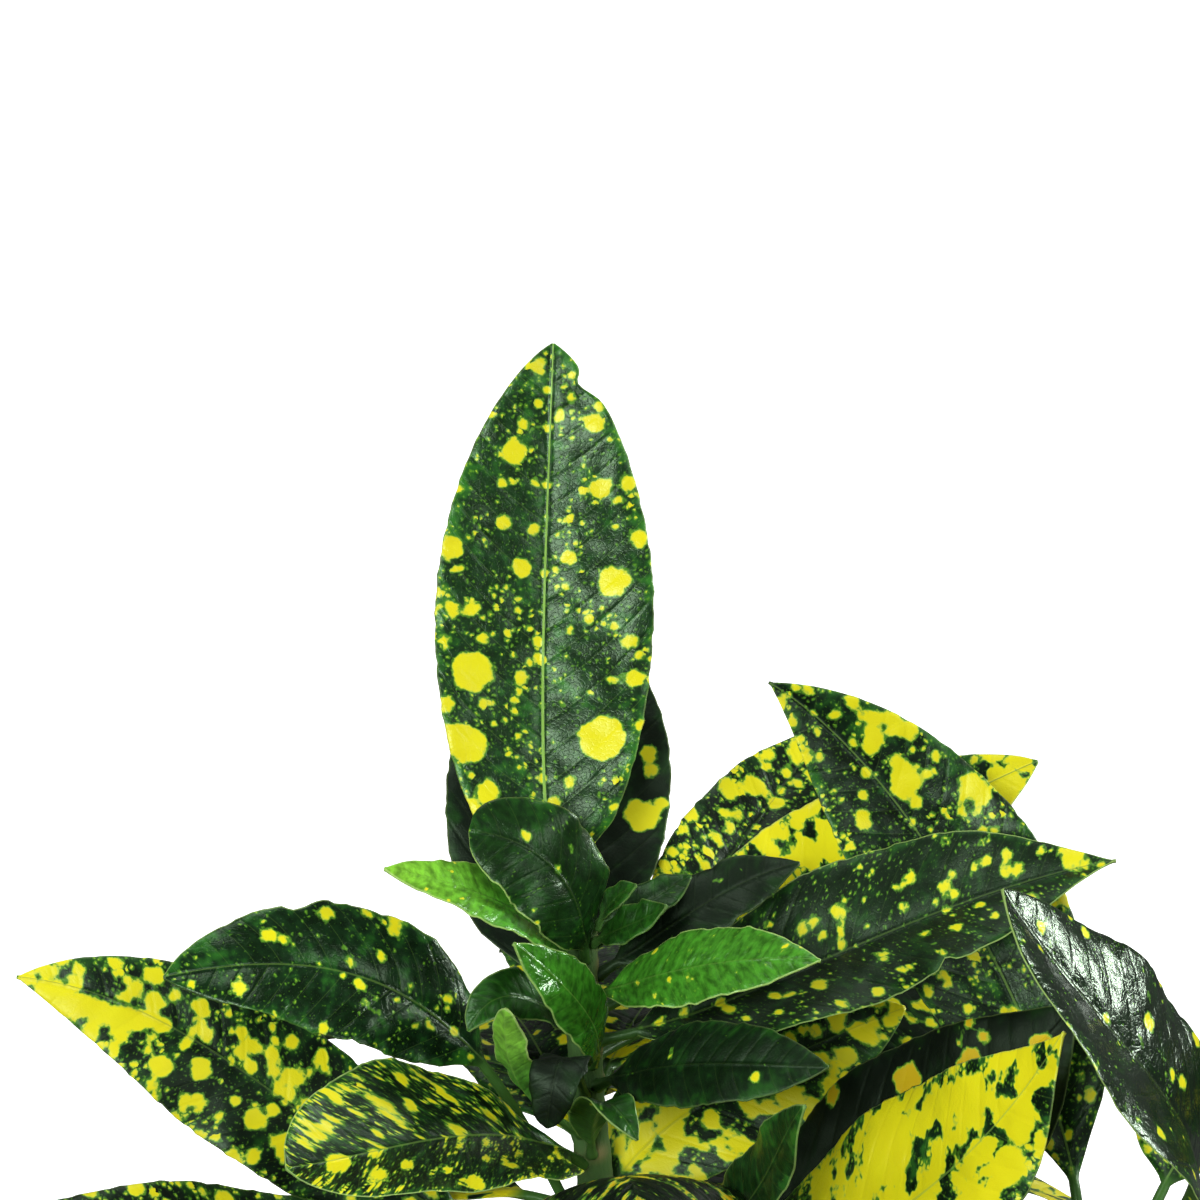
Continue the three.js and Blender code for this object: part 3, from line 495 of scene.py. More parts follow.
def alongVeins(streak):
    # how a spot is drawn out: squeezed across by one over one plus the streak, and slanted as the
    # side veins are, then steeper with every bit of streak above a half
    slant = anatomy["veinSlant"] * min(1, 3 * streak)
    slant += blotching["steeper"] * max(0, streak - blotching["steepFrom"])
    return 1 / (1 + streak), slant


def blotchField(x, s, leaf, length, dice):
    # distance in mm into the nearest large yellow blotch, negative outside: a soft union of
    # circles. Random ones have a few large and many small radii, each with a smaller neighbour
    half = leaf["width"] / 2
    count = int(leaf["blotches"] * leaf["width"] * length * blotching["bladeShare"] / 1000)
    along = dice.uniform(*blotching["along"], count)
    across = dice.uniform(-1, 1, count) * outlineShare(along, leaf)
    sizes = dice.uniform(0, 1, count) ** blotching["rarity"]
    radius = blotching["smallest"] + (leaf["blotchSize"] - blotching["smallest"]) * sizes
    beside = dice.uniform(0, fullTurn, count)
    centres = np.stack([across * half, along * length], -1)
    toLobe = np.stack([np.cos(beside), np.sin(beside)], -1)
    lobes = centres + (radius * blotching["lobeAt"])[:, None] * toLobe
    marked = np.array(leaf["marks"], float).reshape(-1, 3) / (100, 100, 1)
    share = outlineShare(marked[:, 0], leaf)
    placed = np.stack([marked[:, 1] * half * share, marked[:, 0] * length], -1)
    squeeze, slant = alongVeins(leaf["streak"])
    squeeze = np.repeat([squeeze, 1], [2 * count, len(marked)])
    slant = np.repeat([slant, blotching["markSlant"] * slant], [2 * count, len(marked)])
    centres = np.concatenate([centres, lobes, placed])
    radius = np.concatenate([radius, radius * blotching["lobeSize"], marked[:, 2]])
    dx = (x[..., None] - centres[:, 0]) * squeeze
    ds = (s[..., None] - centres[:, 1]) - slant * (np.abs(x)[..., None] - np.abs(centres[:, 0]))
    into = (radius - np.sqrt(dx ** 2 + ds ** 2)) / blotching["soft"]
    union = blotching["soft"] * np.log(np.exp(np.clip(into, -30, 30)).sum(-1) + 1e-12)
    return np.clip(union, -blotching["farthest"], blotching["farthest"])


def makeLeaf(name, leaf, index):
    # A blade is a thin pad carried along a cubic curve: across it lies at plus and minus its half
    # width, folded up in a V, bent down with the square of the distance from the midrib, and
    # rippled by a sine that grows towards the edge. The stalk is a round rod that spreads into it.
    dice = np.random.default_rng(400 + index)
    rodAt, rodWay, rodRadius = stemAt(leaf["stem"], leaf["height"])
    outward = np.array(leaf["curve"][0], float) - rodAt
    outward = unit(outward - rodWay * outward.dot(rodWay))
    curve = [rodAt + outward * (rodRadius + anatomy["stemGap"]), *leaf["curve"]]
    length = arcCurve(curve, [0, 1])[2]
    start = leaf["petiole"] / length
    bladeLength = length - leaf["petiole"]
    chord = unit(np.array(leaf["curve"][-1], float) - rodAt)
    sideways = unit(np.cross(chord, [0, 0, 1]))
    angle = math.radians(leaf["turn"])
    acrossWay = sideways * math.cos(angle) + np.cross(sideways, chord) * math.sin(angle)

    # rows along the stalk and the blade, t from 0 to 1 on the blade, and the frame of each row
    bladeRows = int(10 + bladeLength * anatomy["rowsPerMm"] * leaf["fine"])
    stalkRows = max(5, int(leaf["petiole"] * 0.5))
    t = 1 - (1 - np.linspace(0, 1, bladeRows)) ** anatomy["rowCrowding"]
    stalkShares = np.linspace(0, 1, stalkRows, endpoint=False) * start
    shares = np.concatenate([stalkShares, start + (1 - start) * t])
    t = np.concatenate([np.zeros(stalkRows), t])[:, None]
    onStalk = (np.arange(len(shares)) < stalkRows)[:, None]
    centre, way, _ = arcCurve(curve, shares)
    side = unit(acrossWay - way * (way @ acrossWay)[:, None])
    face = np.cross(side, way)

    # columns across the upper side and back across the lower one, u from -1 to 1, close together
    # at the midrib and doubled near the edge
    bulk = leaf["width"] / anatomy["wideLeaf"]
    steps = max(6, int(anatomy["columns"] * bulk ** 0.5 * leaf["fine"]))
    v = np.linspace(-1, 1, 2 * steps + 1)
    crowding = anatomy["columnCrowding"]
    u = (1 - crowding) * v + crowding * np.abs(v) * v
    u = np.concatenate([u[:1], [-anatomy["edgeLoop"]], u[1:-1], [anatomy["edgeLoop"]], u[-1:]])
    u = np.concatenate([u, u[-2:0:-1]])[None, :]
    over = np.concatenate([np.ones(2 * steps + 3), -np.ones(2 * steps + 1)])[None, :]

    # flat outline, with the torn nicks of one side, made uneven by sines along the edge
    s = bladeLength * t
    stalk = anatomy["stalkBase"] + anatomy["stalkPerWidth"] * leaf["width"]
    stalk = min(anatomy["stalkLargest"], stalk)
    half = leaf["width"] / 2 * outlineShare(t, leaf) * np.ones_like(u)
    for torn, edge, depth, spread in leaf["nicks"]:
        nick = 1 - depth * np.exp(-((t - torn) / spread) ** 2)
        half = half * np.where(np.sign(u) == edge, nick, 1)
    own = index + np.where(u > 0, 1.3, 0)
    uneven = sum(size * np.sin(s / run + k * own) for run, size, k in anatomy["ripples"])
    half = half + leaf["frill"] * uneven * np.sin(math.pi * t)
    half = np.maximum(half, np.maximum(anatomy["tipHalf"], stalk * (1 - t / anatomy["flare"])))
    x = u * half

    # height of the blade's middle sheet
    lift = math.radians(leaf["fold"])
    ridge = np.sqrt(u ** 2 + anatomy["ridgeRound"] ** 2) - anatomy["ridgeRound"]
    ripple = leaf["waves"] * t + leaf["phase"] + np.where(u > 0, anatomy["seam"], 0)
    flutter = leaf["wave"] * np.sin(math.pi * t) ** 0.6 * u ** 2 * np.sin(fullTurn * ripple)
    run, size, k = anatomy["crimp"]
    crimp = leaf["frill"] * size * np.sin(math.pi * t) * u ** 4 * np.sin(s / run + k * own)
    middle = ridge * half * math.sin(lift) - leaf["cup"] * half * u ** 2 + (flutter + crimp)

    # side veins leave the midrib at a slant and bend to the tip, in turn on the two sides, and
    # the blade bulges between them
    slant = anatomy["veinSlant"] * np.abs(x) + anatomy["veinBend"] * x ** 2
    spacing = anatomy["veinLeast"] + (1 - anatomy["veinLeast"]) * bulk
    vein = (s - slant) / (anatomy["veinSpacing"] * spacing) + np.where(u > 0, 0.5, 0)
    fade = anatomy["quiltFade"]
    inside = np.clip((half - np.abs(x)) / fade, 0, 1) * np.clip((np.abs(x) - 1) / fade, 0, 1)
    quilt = anatomy["quilt"] * bulk * np.abs(np.sin(math.pi * vein)) ** 0.7 * inside
    rib, groove, crease = [size * np.exp(-(x / width) ** 2) for size, width in
                           (anatomy["rib"], anatomy["groove"], anatomy["crease"])]
    pad = anatomy["thickness"] / 2 * np.sqrt(np.maximum(0, 1 - np.abs(u) ** anatomy["edgeRound"]))
    upper = pad - (groove * (1 - t) - crease)
    y = middle + quilt + np.where(over > 0, upper, -pad - rib * (1 - t))

    # round stalk, thicker where it leaves the stem, and its blend into the blade
    blend = np.clip(1 - t / anatomy["merge"], 0, 1)
    swell, swellLength = anatomy["swell"]
    swell = np.where(onStalk, 1 + swell * np.exp(-shares[:, None] * length / swellLength), 1)
    roundX = stalk * swell * np.sin(u * math.pi / 2)
    roundY = stalk * swell * np.cos(u * math.pi / 2) * over
    bladeX = x * math.cos(lift)
    outX = np.where(onStalk, roundX, bladeX + (roundX - bladeX) * blend * 0.5)
    outY = np.where(onStalk, roundY, y + (roundY - y) * blend)
    grid = centre[:, None] + side[:, None] * outX[..., None] + face[:, None] * outY[..., None]
    grid = np.concatenate([grid[:1] - outward * anatomy["rootDepth"], grid]) * mm

    def spreadOut(*columns):
        # three numbers for each point of the grid
        return np.stack([column + 0 * x for column in columns], -1)

    # what the cuticle's pattern reads: in the flat leaf, mm along from the stalk's end, mm in from
    # the edge and the count of side veins, then where its clouds and fine spots are looked up, and
    # how many half widths of the midrib it is from the middle. A young leaf is freshest at its tip
    along = np.where(onStalk, (shares[:, None] - start) * length, s)
    inEdge = np.where(onStalk, 9, half - np.abs(x))
    squeeze, slant = alongVeins(leaf["streak"])
    size, power = pattern["finer"]
    finer = 1 + size * leaf["streak"] ** power
    least, more = pattern["ribHalf"]
    ribHalf = (least + more * bulk) * (1 - pattern["ribTaper"] * t)
    rim = leaf["rim"] * np.where(u * leaf["rimSide"] < 0, pattern["otherRim"], 1)
    least, more = pattern["youth"]
    youth = np.minimum(1, leaf["young"] * (least + more * t))
    acrossStep, alongStep = pattern["leafStep"]
    blotch = blotchField(x, s + 0 * x, leaf, bladeLength, dice)
    attributes = {
        "flat": spreadOut(along, inEdge, vein),
        "spotMap": spreadOut(x * squeeze * finer + acrossStep * index,
                             (along - slant * np.abs(x)) * finer + alongStep * index, 0),
        "lot": spreadOut(youth, leaf["speckle"], leaf["shade"]),
        "finish": spreadOut(leaf["gloss"], rim, leaf["gold"]),
        "rib": spreadOut(np.abs(x) / ribHalf, leaf["midrib"], (1 - over) / 2),
        "blotch": np.where(onStalk, -blotching["farthest"], blotch),
    }
    for key, values in attributes.items():
        attributes[key] = np.concatenate([values[:1], values])
    ringSkin(name + "_blade", grid, cuticle, [name], attributes)


# Croton leaf: a thick green sheet under a clear waxy cuticle. The wax gives broad soft highlights
# over a deep green, and the yellow spots are cells without green in them, so they end crisply.
# shadow is the dark colour that painted shade darkens the greens, midrib and stalk to, and
# yellowShade the warmer yellow of the deepest painted shade and of a little random drift
leafColours = {
    "deep": "07140A", "mid": "122B17", "lush": "337727", "shadow": "040805",
    "youngMid": "347A1C", "youngBright": "4E9A2A", "lime": "84C636", "halo": "62A02A",
    "yellow": "EDEA1C", "yellowShade": "E2BE1C", "dot": "BCD03C",
    "rib": "8FBF55", "rim": "B4D878", "stalk": "4A7A34", "back": "4F7A3A", "glint": "D8FFD4",
}
# Soft clouds over the leaf: how many there are in a mm, how finely they are broken up and how far
# they are bent
leafClouds = {
    "cluster": (0.07, 2, 0), "blotchEdge": (0.28, 3, 0), "sheet": (0.11, 3, 0),
    "drift": (0.1, 2, 0), "mottle": (0.4, 4, 0), "blister": (0.09, 1, 0),
    "pebble": (0.24, 2, 0.9),
}
# Fine spots of three sizes: the cell that holds one, its largest radius, both in mm, and how much
# rarer large ones are
fineSpots = [(6.5, 2.7, 3.6), (3.2, 1.7, 3), (1.6, 1, 2.9)]
netCell = 1.4  # mm. A real net is nearer 0.5 mm across, which the picture cannot carry

cuticle, add, paint = newMaterial("waxyCrotonLeaf", leafColours)
spotMap = add("Attribute", take=1, attribute_name="spotMap")
blotch = add("Attribute", take=2, attribute_name="blotch")
read = {}
for name in ("flat", "lot", "finish", "rib"):
    read[name] = add("Attribute", take=1, attribute_name=name)
    read[name] = add("SeparateXYZ", [read[name]], take=None).outputs
alongMm, inEdge, vein = read["flat"]
youth, speckle, shade = read["lot"]
gloss, rim, gold = read["finish"]
fromRib, midrib, underside = read["rib"]
clouds = {}
for name, (scale, detail, bend) in leafClouds.items():
    clouds[name] = add("TexNoise", {"Vector": spotMap, "Scale": scale, "Detail": detail,
                                    "Distortion": bend}, **flatNoise)

# ragged shift of about 0.3 mm, so no spot is a true circle
ragged = add("TexNoise", {"Vector": spotMap, "Scale": 0.55, "Detail": 3}, take=1, **flatNoise)
ragged = add("VectorMath", [ragged, (0.5, 0.5, 0.5)], operation="SUBTRACT")
ragged = add("VectorMath", {0: ragged, "Scale": 1.6}, operation="SCALE")
raggedMap = add("VectorMath", [spotMap, ragged], operation="ADD")

# how thick the fine spots lie: in clusters some 15 mm wide, and more of them at the edge
patchy = add("MapRange", [clouds["cluster"], 0.42, 0.64, 0.35, 1.25], **smooth)
edgeward = add("MapRange", [inEdge, 8, 0.5, 0, 0.5], **smooth)
thick = add("Math", [patchy, edgeward], operation="ADD")
thick = add("Math", [thick, speckle], operation="MULTIPLY")

# large blotches, their edge uneven by some 0.6 mm, and the sheets they run together into
shift = add("Math", [clouds["blotchEdge"], 3, -1.5], operation="MULTIPLY_ADD")
spots = add("Math", [blotch, shift], operation="ADD")
sheets = add("Math", [gold, 0.56, clouds["sheet"]], operation="MULTIPLY_ADD")
sheets = add("Math", [sheets, 15, -11.7], operation="MULTIPLY_ADD")
spots = add("Math", [spots, sheets], operation="MAXIMUM")

# fine spots: each cell has one of random radius. From 0.35 mm on a leaf with many of them to
# 0.9 mm on a leaf with none is taken off it, so a small draw leaves no spot
least = add("MapRange", [speckle, 0, 0.6, -0.9, -0.35])
for cell, widest, rarity in fineSpots:
    cells = add("TexVoronoi", {"Vector": raggedMap, "Scale": 1 / cell}, take=None,
                voronoi_dimensions="2D").outputs
    draw = add("SeparateColor", [cells["Color"]])
    draw = add("Math", [draw, rarity], operation="POWER")
    radius = add("Math", [draw, widest], operation="MULTIPLY")
    radius = add("Math", [radius, thick, least], operation="MULTIPLY_ADD")
    into = add("Math", [cells["Distance"], -cell, radius], operation="MULTIPLY_ADD")
    spots = add("Math", [spots, into], operation="MAXIMUM")
onBlade = add("MapRange", [alongMm, 0, 5])
isSpot = add("MapRange", [spots, -0.08, 0.1], **smooth)
isSpot = add("Math", [isSpot, onBlade], operation="MULTIPLY")
isHalo = add("MapRange", [spots, -0.65, 0, 0, 0.85], **smooth)

# greens: deep and mid in soft patches, lusher at the edge, up to lime on young leaves
tone = add("Math", [clouds["mottle"], 0.35, clouds["drift"]], operation="MULTIPLY_ADD")
nearEdge = add("MapRange", [inEdge, 5, 0.2, -0.17, 0.03], **smooth)
tone = add("Math", [tone, nearEdge], operation="ADD")
green = add("ValToRGB", [tone], stops=[(0.36, paint["deep"]), (0.6, paint["mid"]),
                                       (0.9, paint["lush"])])
fresh = add("ValToRGB", [youth], stops=[(0.4, paint["youngMid"]), (0.8, paint["youngBright"]),
                                        (1, paint["lime"])])
uneven = add("MapRange", [clouds["mottle"], 0.3, 0.7, 0.5, 1.35])
fresh = add("VectorMath", {0: fresh, "Scale": uneven}, operation="SCALE")
isYoung = add("MapRange", [youth, 0, 0.5])

# side veins: a slightly paler hair line where the vein count is a whole number. Then the
# painted shade, partly the leaf's own darker green, darkens all the greens towards the shadow
# colour, and each yellow spot has a green halo
fromVein = add("Math", [vein, 0.5], operation="PINGPONG")
veinLine = add("MapRange", [fromVein, 0.03, 0, 0, 0.12], **smooth)
veinLine = add("Math", [veinLine, onBlade], operation="MULTIPLY")
dim = add("MapRange", [shade, 0, 1, 0, 0.9])
for share, coat in ((isYoung, fresh), (veinLine, paint["rib"]), (dim, paint["shadow"]),
                    (isHalo, paint["halo"])):
    green = add("Mix", {0: share, 6: green, 7: coat}, **colourMix)

# yellow, lime in the smallest dots and at the blotches' edges, deeper and warmer where the
# painted shade is deepest, and a little warmer at random
warm = add("MapRange", [shade, 0.86, 1, 0, 0.8])
warm = add("Math", [clouds["drift"], 0.25, warm], operation="MULTIPLY_ADD")
yellow = add("Mix", {0: warm, 6: paint["yellow"], 7: paint["yellowShade"]}, **colourMix)
inDeep = add("MapRange", [spots, 0, 0.55], **smooth)
yellow = add("Mix", {0: inDeep, 6: paint["dot"], 7: yellow}, **colourMix)

# over them the pale midrib, edge line, stalk and underside, each laid on the one before
# the midrib and the stalk are darkened by the same painted shade as the greens
ribTone = add("Mix", {0: dim, 6: paint["rib"], 7: paint["shadow"]}, **colourMix)
stalk = add("Mix", {0: dim, 6: paint["stalk"], 7: paint["shadow"]}, **colourMix)
ribLine = add("MapRange", [fromRib, 1.1, 0.6, 0, midrib], **smooth)
rimShare = add("Math", [youth, 0.2, rim], operation="MULTIPLY_ADD")
edgeLine = add("MapRange", [inEdge, 0.6, 0.2, 0, 1], **smooth)
edgeLine = add("Math", [edgeLine, rimShare], operation="MULTIPLY", use_clamp=True)
onStalk = add("MapRange", [alongMm, 5, -2], **smooth)
beneath = add("Math", [underside, 0.4], operation="MULTIPLY")
colour = green
for share, coat in ((isSpot, yellow), (ribLine, ribTone), (edgeLine, paint["rim"]),
                    (onStalk, stalk), (beneath, paint["back"])):
    colour = add("Mix", {0: share, 6: colour, 7: coat}, **colourMix)

# relief in mm: sunk side veins, broad blisters, a slight pebble and a net of fine veins
sunk = add("MapRange", [fromVein, 0, 0.16, 0, 0.07], **smooth)
net = add("TexVoronoi", {"Vector": raggedMap, "Scale": 1 / netCell}, voronoi_dimensions="2D",
          feature="DISTANCE_TO_EDGE")
net = add("MapRange", [net, 0, 0.2, 0, 0.02], **smooth)
height = add("Math", [clouds["blister"], 1.1, sunk], operation="MULTIPLY_ADD")
rumple = add("Math", [gloss, 0.17, 0.01], operation="MULTIPLY_ADD")
height = add("Math", [clouds["pebble"], rumple, height], operation="MULTIPLY_ADD")
height = add("Math", [height, net], operation="ADD")
relief = add("Bump", {"Height": height, "Strength": 1, "Distance": mm})
wax = add("Math", [gloss, -0.25, 0.36], operation="MULTIPLY_ADD")
wax = add("Math", [shade, 0.12, wax], operation="MULTIPLY_ADD")
rough = add("Mix", {0: underside, 2: wax, 3: 0.6})
shader = add("BsdfPrincipled", {"Base Color": colour, "Roughness": rough, "Normal": relief,
                                "IOR": 1.4, "Specular Tint": paint["glint"]})
add("OutputMaterial", [shader])

for index, (name, leaf) in enumerate(leaves.items()):
    makeLeaf(name, leaf, index)
print("leaves ready:", len(leaves))

# Woody stem: dull grey-brown bark with fine cracks, green and smooth towards the growing point.
barkColours = {"bark": "5E4F36", "crack": "352B1D", "scar": "8A7A50", "green": "3A5F28"}
bark, add, paint = newMaterial("crotonBark", barkColours)
barkMap = add("Attribute", take=1, attribute_name="barkMap")
scar = add("Attribute", take=2, attribute_name="scar")
longGrain = add("Mapping", {"Vector": barkMap, "Scale": (1, 0.22, 0)})
cracks = add("TexNoise", {"Vector": longGrain, "Scale": 0.9, "Detail": 6, "Roughness": 0.65},
             **flatNoise)
tone = add("ValToRGB", [cracks], stops=[(0.38, paint["crack"]), (0.62, paint["bark"])])
ageing = add("MapRange", [add("SeparateXYZ", [barkMap], take=2), 0.35, 0.7], **smooth)
for share, coat in ((ageing, paint["green"]), (scar, paint["scar"])):
    tone = add("Mix", {0: share, 6: tone, 7: coat}, **colourMix)
furrow = add("Bump", {"Height": cracks, "Strength": 0.6, "Distance": 0.6 * mm})
shader = add("BsdfPrincipled", {"Base Color": tone, "Roughness": 0.72, "Normal": furrow})
add("OutputMaterial", [shader])

# Sides and rows of the skin, the share of the stem where its tip begins to close, the old leaf
# scars below the leaves, the half height in mm of a scar and of the ring at a leaf's node, and how
# far they and the flutes of the bark stand out, as shares of the radius
stemForm = {
    "sides": 36, "rows": 150, "domeRows": 10, "close": 0.985, "oldScars": 7, "lowestScar": 126,
    "scarHeight": 2.2, "ringHeight": 1.6, "scar": 0.1, "ring": 0.05, "flute": 0.015,
}


def makeStem(name, stem, index):
    # A round rod carried along its curve. Its radius shrinks evenly to the tip, swells at each
    # leaf's node by a bell some 4 mm high and closes as a dome over the last share.
    dice = np.random.default_rng(70 + index)
    close = stemForm["close"]
    dome = np.sin(np.linspace(0.1, 1, stemForm["domeRows"]) * math.pi / 2)
    shares = np.concatenate([np.linspace(0, close, stemForm["rows"]), close + (1 - close) * dome])
    centre, way, length = arcCurve(stem["handles"], shares)
    foot, tip = stem["radii"]
    closing = np.maximum(0, shares - close) / (1.02 * (1 - close))
    radius = (foot + (tip - foot) * shares) * np.sqrt(np.clip(1 - closing ** 2, 0.02, 1))
    turn = roundAbout(stemForm["sides"])
    joints = [leaf["height"] for leaf in leaves.values() if leaf["stem"] == name]
    joints += list(dice.uniform(stemForm["lowestScar"], min(joints), stemForm["oldScars"]))
    above = centre[:, 2:] - np.array(joints)
    angles = dice.uniform(0, fullTurn, len(joints))
    facing = np.clip(np.cos(turn - angles[:, None]), 0, 1) ** 6
    nearby = np.exp(-(above / stemForm["scarHeight"]) ** 2)
    scar = (nearby[..., None] * facing).max(1)
    ring = np.exp(-(above / stemForm["ringHeight"]) ** 2).max(1)
    flutes = stemForm["flute"] * np.sin(3 * turn[None, :] + 40 * shares[:, None])
    spin = 1 + stemForm["ring"] * ring[:, None] + stemForm["scar"] * scar + flutes
    spin = radius[:, None] * spin
    side = unit(np.array([1.0, 0, 0]) - way * way[:, :1])
    other = np.cross(way, side)
    grid = (centre[:, None] + side[:, None] * (spin * np.cos(turn))[..., None]
            + other[:, None] * (spin * np.sin(turn))[..., None])
    barkMap = np.stack([foot * np.cos(turn) + 0 * scar,
                        shares[:, None] * length + 90 * index + 0 * scar,
                        shares[:, None] + 0 * scar], -1)
    ringSkin("stem_" + name + "_bark", grid * mm, bark, ["stem_" + name],
             {"barkMap": barkMap, "scar": scar * 0.7})


for index, (name, stem) in enumerate(stems.items()):
    makeStem(name, stem, index)
print("stems ready")

pot = {
    "height": 146, "footRadius": 64, "shoulderRadius": 87, "rimRadius": 95, "rimHeight": 30,
    "rimTaper": 2.2, "wall": 7, "floor": 9, "round": 2.2, "sides": 168,
    "drainHoles": 4, "drainRadius": 6, "drainCircle": 34, "drillSides": 32, "drillSpare": 5,
}


def potBore(z):
    # radius of the pot's inner wall: a straight cone, one wall in from the outer one
    widening = pot["shoulderRadius"] - pot["footRadius"]
    return pot["footRadius"] - pot["wall"] + widening * z / (pot["height"] - pot["rimHeight"])


def rounded(corners, radius, steps=6):
    # open outline with every inner corner cut back by the radius and filled by a quadratic curve
    corners = np.array(corners, float)
    before, here, after = corners[:-2], corners[1:-1], corners[2:]
    cutIn = np.minimum(radius, 0.45 * np.linalg.norm(here - before, axis=1))[:, None]
    cutOut = np.minimum(radius, 0.45 * np.linalg.norm(after - here, axis=1))[:, None]
    begin = here + unit(before - here) * cutIn
    end = here + unit(after - here) * cutOut
    k = np.linspace(0, 1, steps)[None, :, None]
    arcs = begin[:, None] * (1 - k) ** 2 + 2 * here[:, None] * k * (1 - k) + end[:, None] * k ** 2
    return np.concatenate([corners[:1], arcs.reshape(-1, 2), corners[-1:]])


# Unglazed terracotta, thrown and fired: warm orange clay, dry and rough, with pale salt bloom
# where water dries out of it and fine rings left by the wheel.
clayColours = {"clay": "B5613A", "dark": "8E4527", "bloom": "D7A585"}
clay, add, paint = newMaterial("unglazedTerracotta", clayColours)
where = add("TexCoord", take=3)
height = add("SeparateXYZ", [where], take=2)
patches = add("TexNoise", {"Vector": where, "Scale": 22.0, "Detail": 5.0})
grit = add("TexNoise", {"Vector": where, "Scale": 900.0, "Detail": 3.0})
tone = add("ValToRGB", [patches], stops=[(0.35, paint["dark"]), (0.62, paint["clay"])])
grains = add("MapRange", [grit, 0.3, 0.7, 0.0, 0.18])
low = add("MapRange", [height, 0.06, 0.0, 0.0, 0.9])
bloom = add("TexNoise", {"Vector": where, "Scale": 34.0, "Detail": 7.0, "Roughness": 0.7})
bloom = add("MapRange", [bloom, 0.52, 0.72])
bloom = add("Math", [bloom, low], operation="MULTIPLY")
for share in (grains, bloom):
    tone = add("Mix", {0: share, 6: tone, 7: paint["bloom"]}, **colourMix)
turns = add("Math", [height, 420.0], operation="MULTIPLY")
wheel = add("TexNoise", {"W": turns, "Scale": 1.0, "Detail": 2.0}, noise_dimensions="1D")
relief = add("Math", [grit, 0.35, wheel], operation="MULTIPLY_ADD")
relief = add("Bump", {"Height": relief, "Strength": 0.5, "Distance": 0.5 * mm})
shader = add("BsdfPrincipled", {"Base Color": tone, "Roughness": 0.86, "Normal": relief})
add("OutputMaterial", [shader])


def makePot():
    # The outline of half the pot, from the middle of its foot out, up, over the rim and down the
    # inner wall, turned round the axis. The drain holes are then drilled through the floor.
    top, floor, shoulder = pot["height"], pot["floor"], pot["height"] - pot["rimHeight"]
    outline = rounded([
        (0.01, 0), (pot["footRadius"], 0), (pot["shoulderRadius"], shoulder),
        (pot["rimRadius"] - pot["rimTaper"], shoulder), (pot["rimRadius"], top),
        (potBore(top), top), (potBore(floor), floor), (0.01, floor)], pot["round"])
    turn = roundAbout(pot["sides"])
    radius, z = outline[:, :1], outline[:, 1:]
    grid = np.stack([radius * np.cos(turn), radius * np.sin(turn), z + 0 * turn], -1)
    shell = ringSkin("pot_clay", grid * mm, clay, ["pot"])
    corners, sides = [], []
    n, circle, hole = pot["drillSides"], pot["drainCircle"], pot["drainRadius"]
    around = roundAbout(n)
    for i in range(pot["drainHoles"]):
        middle = (i + 0.5) * fullTurn / pot["drainHoles"]
        ring = np.stack([circle * math.cos(middle) + hole * np.cos(around),
                         circle * math.sin(middle) + hole * np.sin(around), 0 * around], -1)
        corners += [ring - [0, 0, pot["drillSpare"]], ring + [0, 0, floor + pot["drillSpare"]]]
        low = 2 * n * i + np.arange(n)
        high = low + n
        sides += np.stack([low, np.roll(low, -1), np.roll(high, -1), high], -1).tolist()
        sides += [low[::-1].tolist(), high.tolist()]
    drills = bpy.data.meshes.new("drills")
    drills.from_pydata(np.concatenate(corners) * mm, [], sides)
    cutter = addObject("drills", drills)
    cut = shell.modifiers.new("drain", "BOOLEAN")
    cut.object, cut.operation, cut.solver = cutter, "DIFFERENCE", "EXACT"
    bpy.context.view_layer.update()
    drilled = shell.evaluated_get(bpy.context.evaluated_depsgraph_get())
    drilled = bpy.data.meshes.new_from_object(drilled)
    shell.modifiers.clear()
    shell.data = drilled
    bpy.data.objects.remove(cutter)


makePot()
print("pot ready")

# Moist potting compost: near black brown, dull, with bits of bark from 2 to 6 mm.
soilColours = {"wet": "1E140D", "dry": "4A3423", "bark": "5E4028"}
compost, add, paint = newMaterial("pottingCompost", soilColours)
where = add("TexCoord", take=3)
clods = add("TexNoise", {"Vector": where, "Scale": 160.0, "Detail": 6.0, "Roughness": 0.7})
tone = add("ValToRGB", [clods], stops=[(0.36, paint["wet"]), (0.6, paint["dry"]),
                                       (0.74, paint["bark"])])
relief = add("Bump", {"Height": clods, "Strength": 0.9, "Distance": 1.5 * mm})
shader = add("BsdfPrincipled", {"Base Color": tone, "Roughness": 0.95, "Normal": relief})
add("OutputMaterial", [shader])

# Where the soil ends and how high it crowns, its gap to the clay, its rows and sides, the shortest
# and longest ripple of its top, and the number and smallest and largest radius of its crumbs, in mm
soil = {
    "top": 131, "crown": 2.0, "gap": 0.6, "floorGap": 0.3, "wallRows": 6, "topRows": 90,
    "sides": 200, "ripples": 30, "rippleLength": (5, 38), "rippleHeight": 0.13,
    "crumbs": 420, "crumbSize": (0.8, 2.6), "crumbEdge": 4,
}
soilDice = np.random.default_rng(12)
soilWaves = np.stack([soilDice.uniform(0, fullTurn, soil["ripples"]),
                      fullTurn / soilDice.uniform(*soil["rippleLength"], soil["ripples"]),
                      soilDice.uniform(0, 6.3, soil["ripples"])])


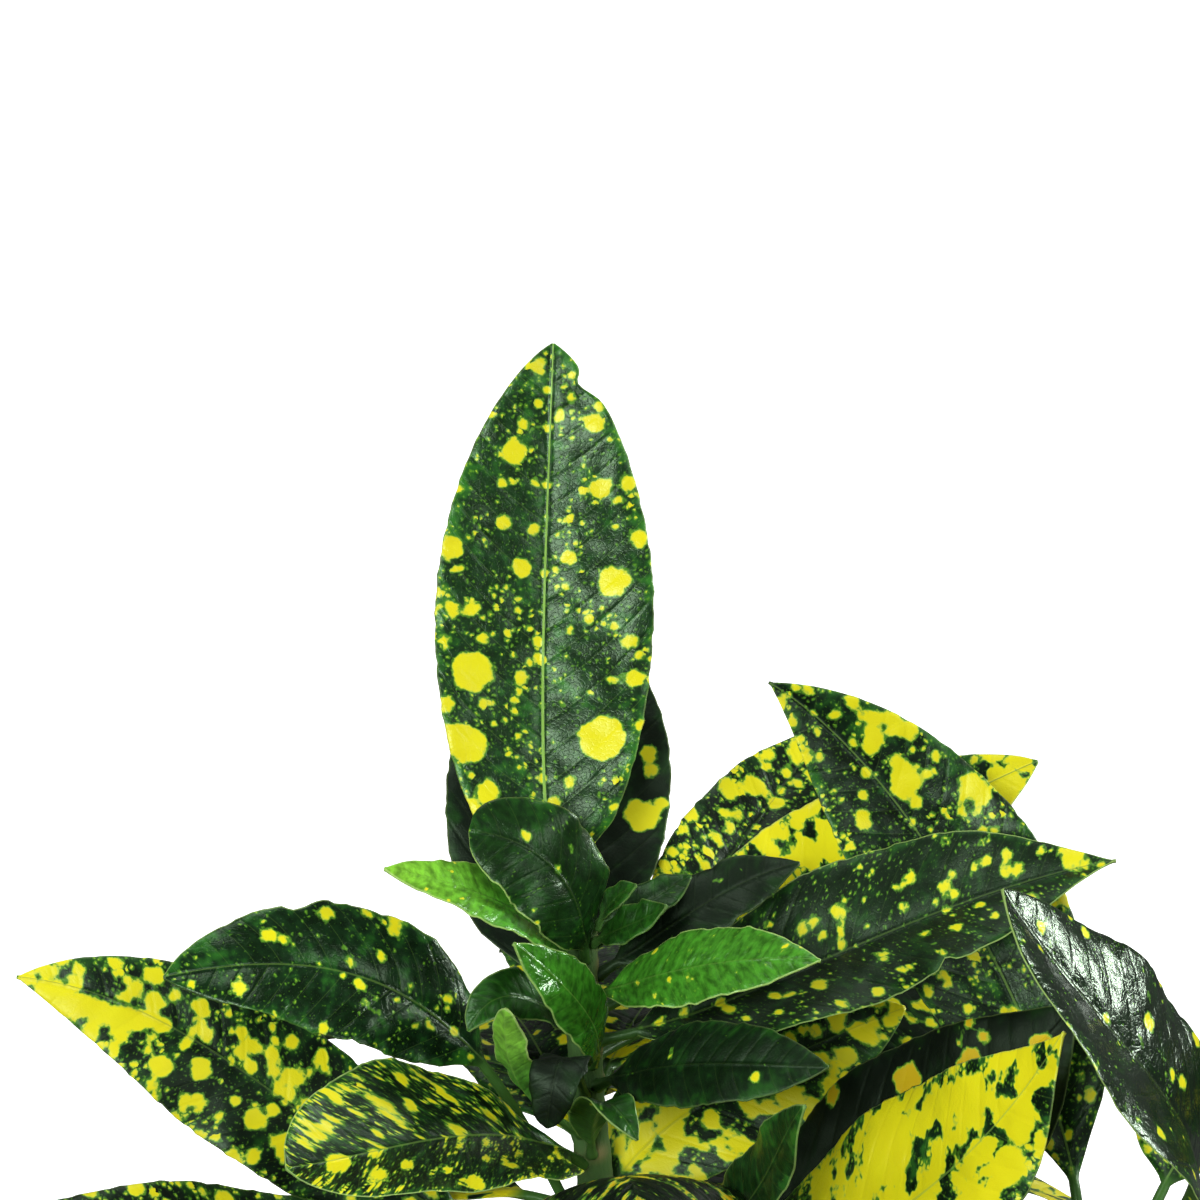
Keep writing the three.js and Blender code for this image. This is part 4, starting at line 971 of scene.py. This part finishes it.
def soilTop(x, y):
    # height in mm: a low crown and the sum of seeded ripples, each lower the shorter it is
    bearing, rate, start = soilWaves
    run = x[..., None] * np.cos(bearing) + y[..., None] * np.sin(bearing)
    ripples = soil["rippleHeight"] * (np.sin(run * rate + start) / rate).sum(-1)
    crown = soil["crown"] * (1 - np.hypot(x, y) / potBore(soil["top"]))
    return soil["top"] + crown + ripples


def makeSoil():
    # A plug that fills the pot: rings from the middle of its underside out, up its wall, and in
    # over its lumpy top. Crumbs are small six-cornered lumps, each turned, stretched and half sunk.
    floorZ = pot["floor"] + soil["floorGap"]
    radii = np.concatenate([
        np.linspace(1, potBore(floorZ) - soil["gap"], soil["wallRows"]),
        np.linspace(potBore(soil["top"]) - soil["gap"], 0.6, soil["topRows"])])
    turn = roundAbout(soil["sides"])
    x, y = radii[:, None] * np.cos(turn), radii[:, None] * np.sin(turn)
    z = np.where(np.arange(len(radii))[:, None] < soil["wallRows"], floorZ, soilTop(x, y))
    ringSkin("soil_compost", np.stack([x, y, z], -1) * mm, compost, ["soil"])

    count = soil["crumbs"]
    away = np.sqrt(soilDice.uniform(0, 1, count)) * (potBore(soil["top"]) - soil["crumbEdge"])
    bearing = soilDice.uniform(0, fullTurn, count)
    cx, cy = away * np.cos(bearing), away * np.sin(bearing)
    size = soilDice.uniform(*soil["crumbSize"], (count, 1, 1))
    size = size * soilDice.uniform(0.5, 1.2, (count, 1, 3))
    corners = np.array([[1, 0, 0], [-1, 0, 0], [0, 1, 0], [0, -1, 0], [0, 0, 1], [0, 0, -1]], float)
    facets = np.array([[0, 2, 4], [2, 1, 4], [1, 3, 4], [3, 0, 4],
                       [2, 0, 5], [1, 2, 5], [3, 1, 5], [0, 3, 5]])
    bits = corners[None] * size * soilDice.uniform(0.75, 1.25, (count, 6, 1))
    axis = np.linalg.qr(soilDice.normal(size=(count, 3, 3)))[0]
    axis = axis * np.sign(np.linalg.det(axis))[:, None, None]
    bits = bits @ axis + np.stack([cx, cy, soilTop(cx, cy)], -1)[:, None]
    facets = facets[None] + 6 * np.arange(count)[:, None, None]
    mesh = bpy.data.meshes.new("soil_crumbs")
    mesh.from_pydata(bits.reshape(-1, 3) * mm, [], facets.reshape(-1, 3).tolist())
    addPiece("soil_crumbs", mesh, compost, None)


makeSoil()
print("soil ready")
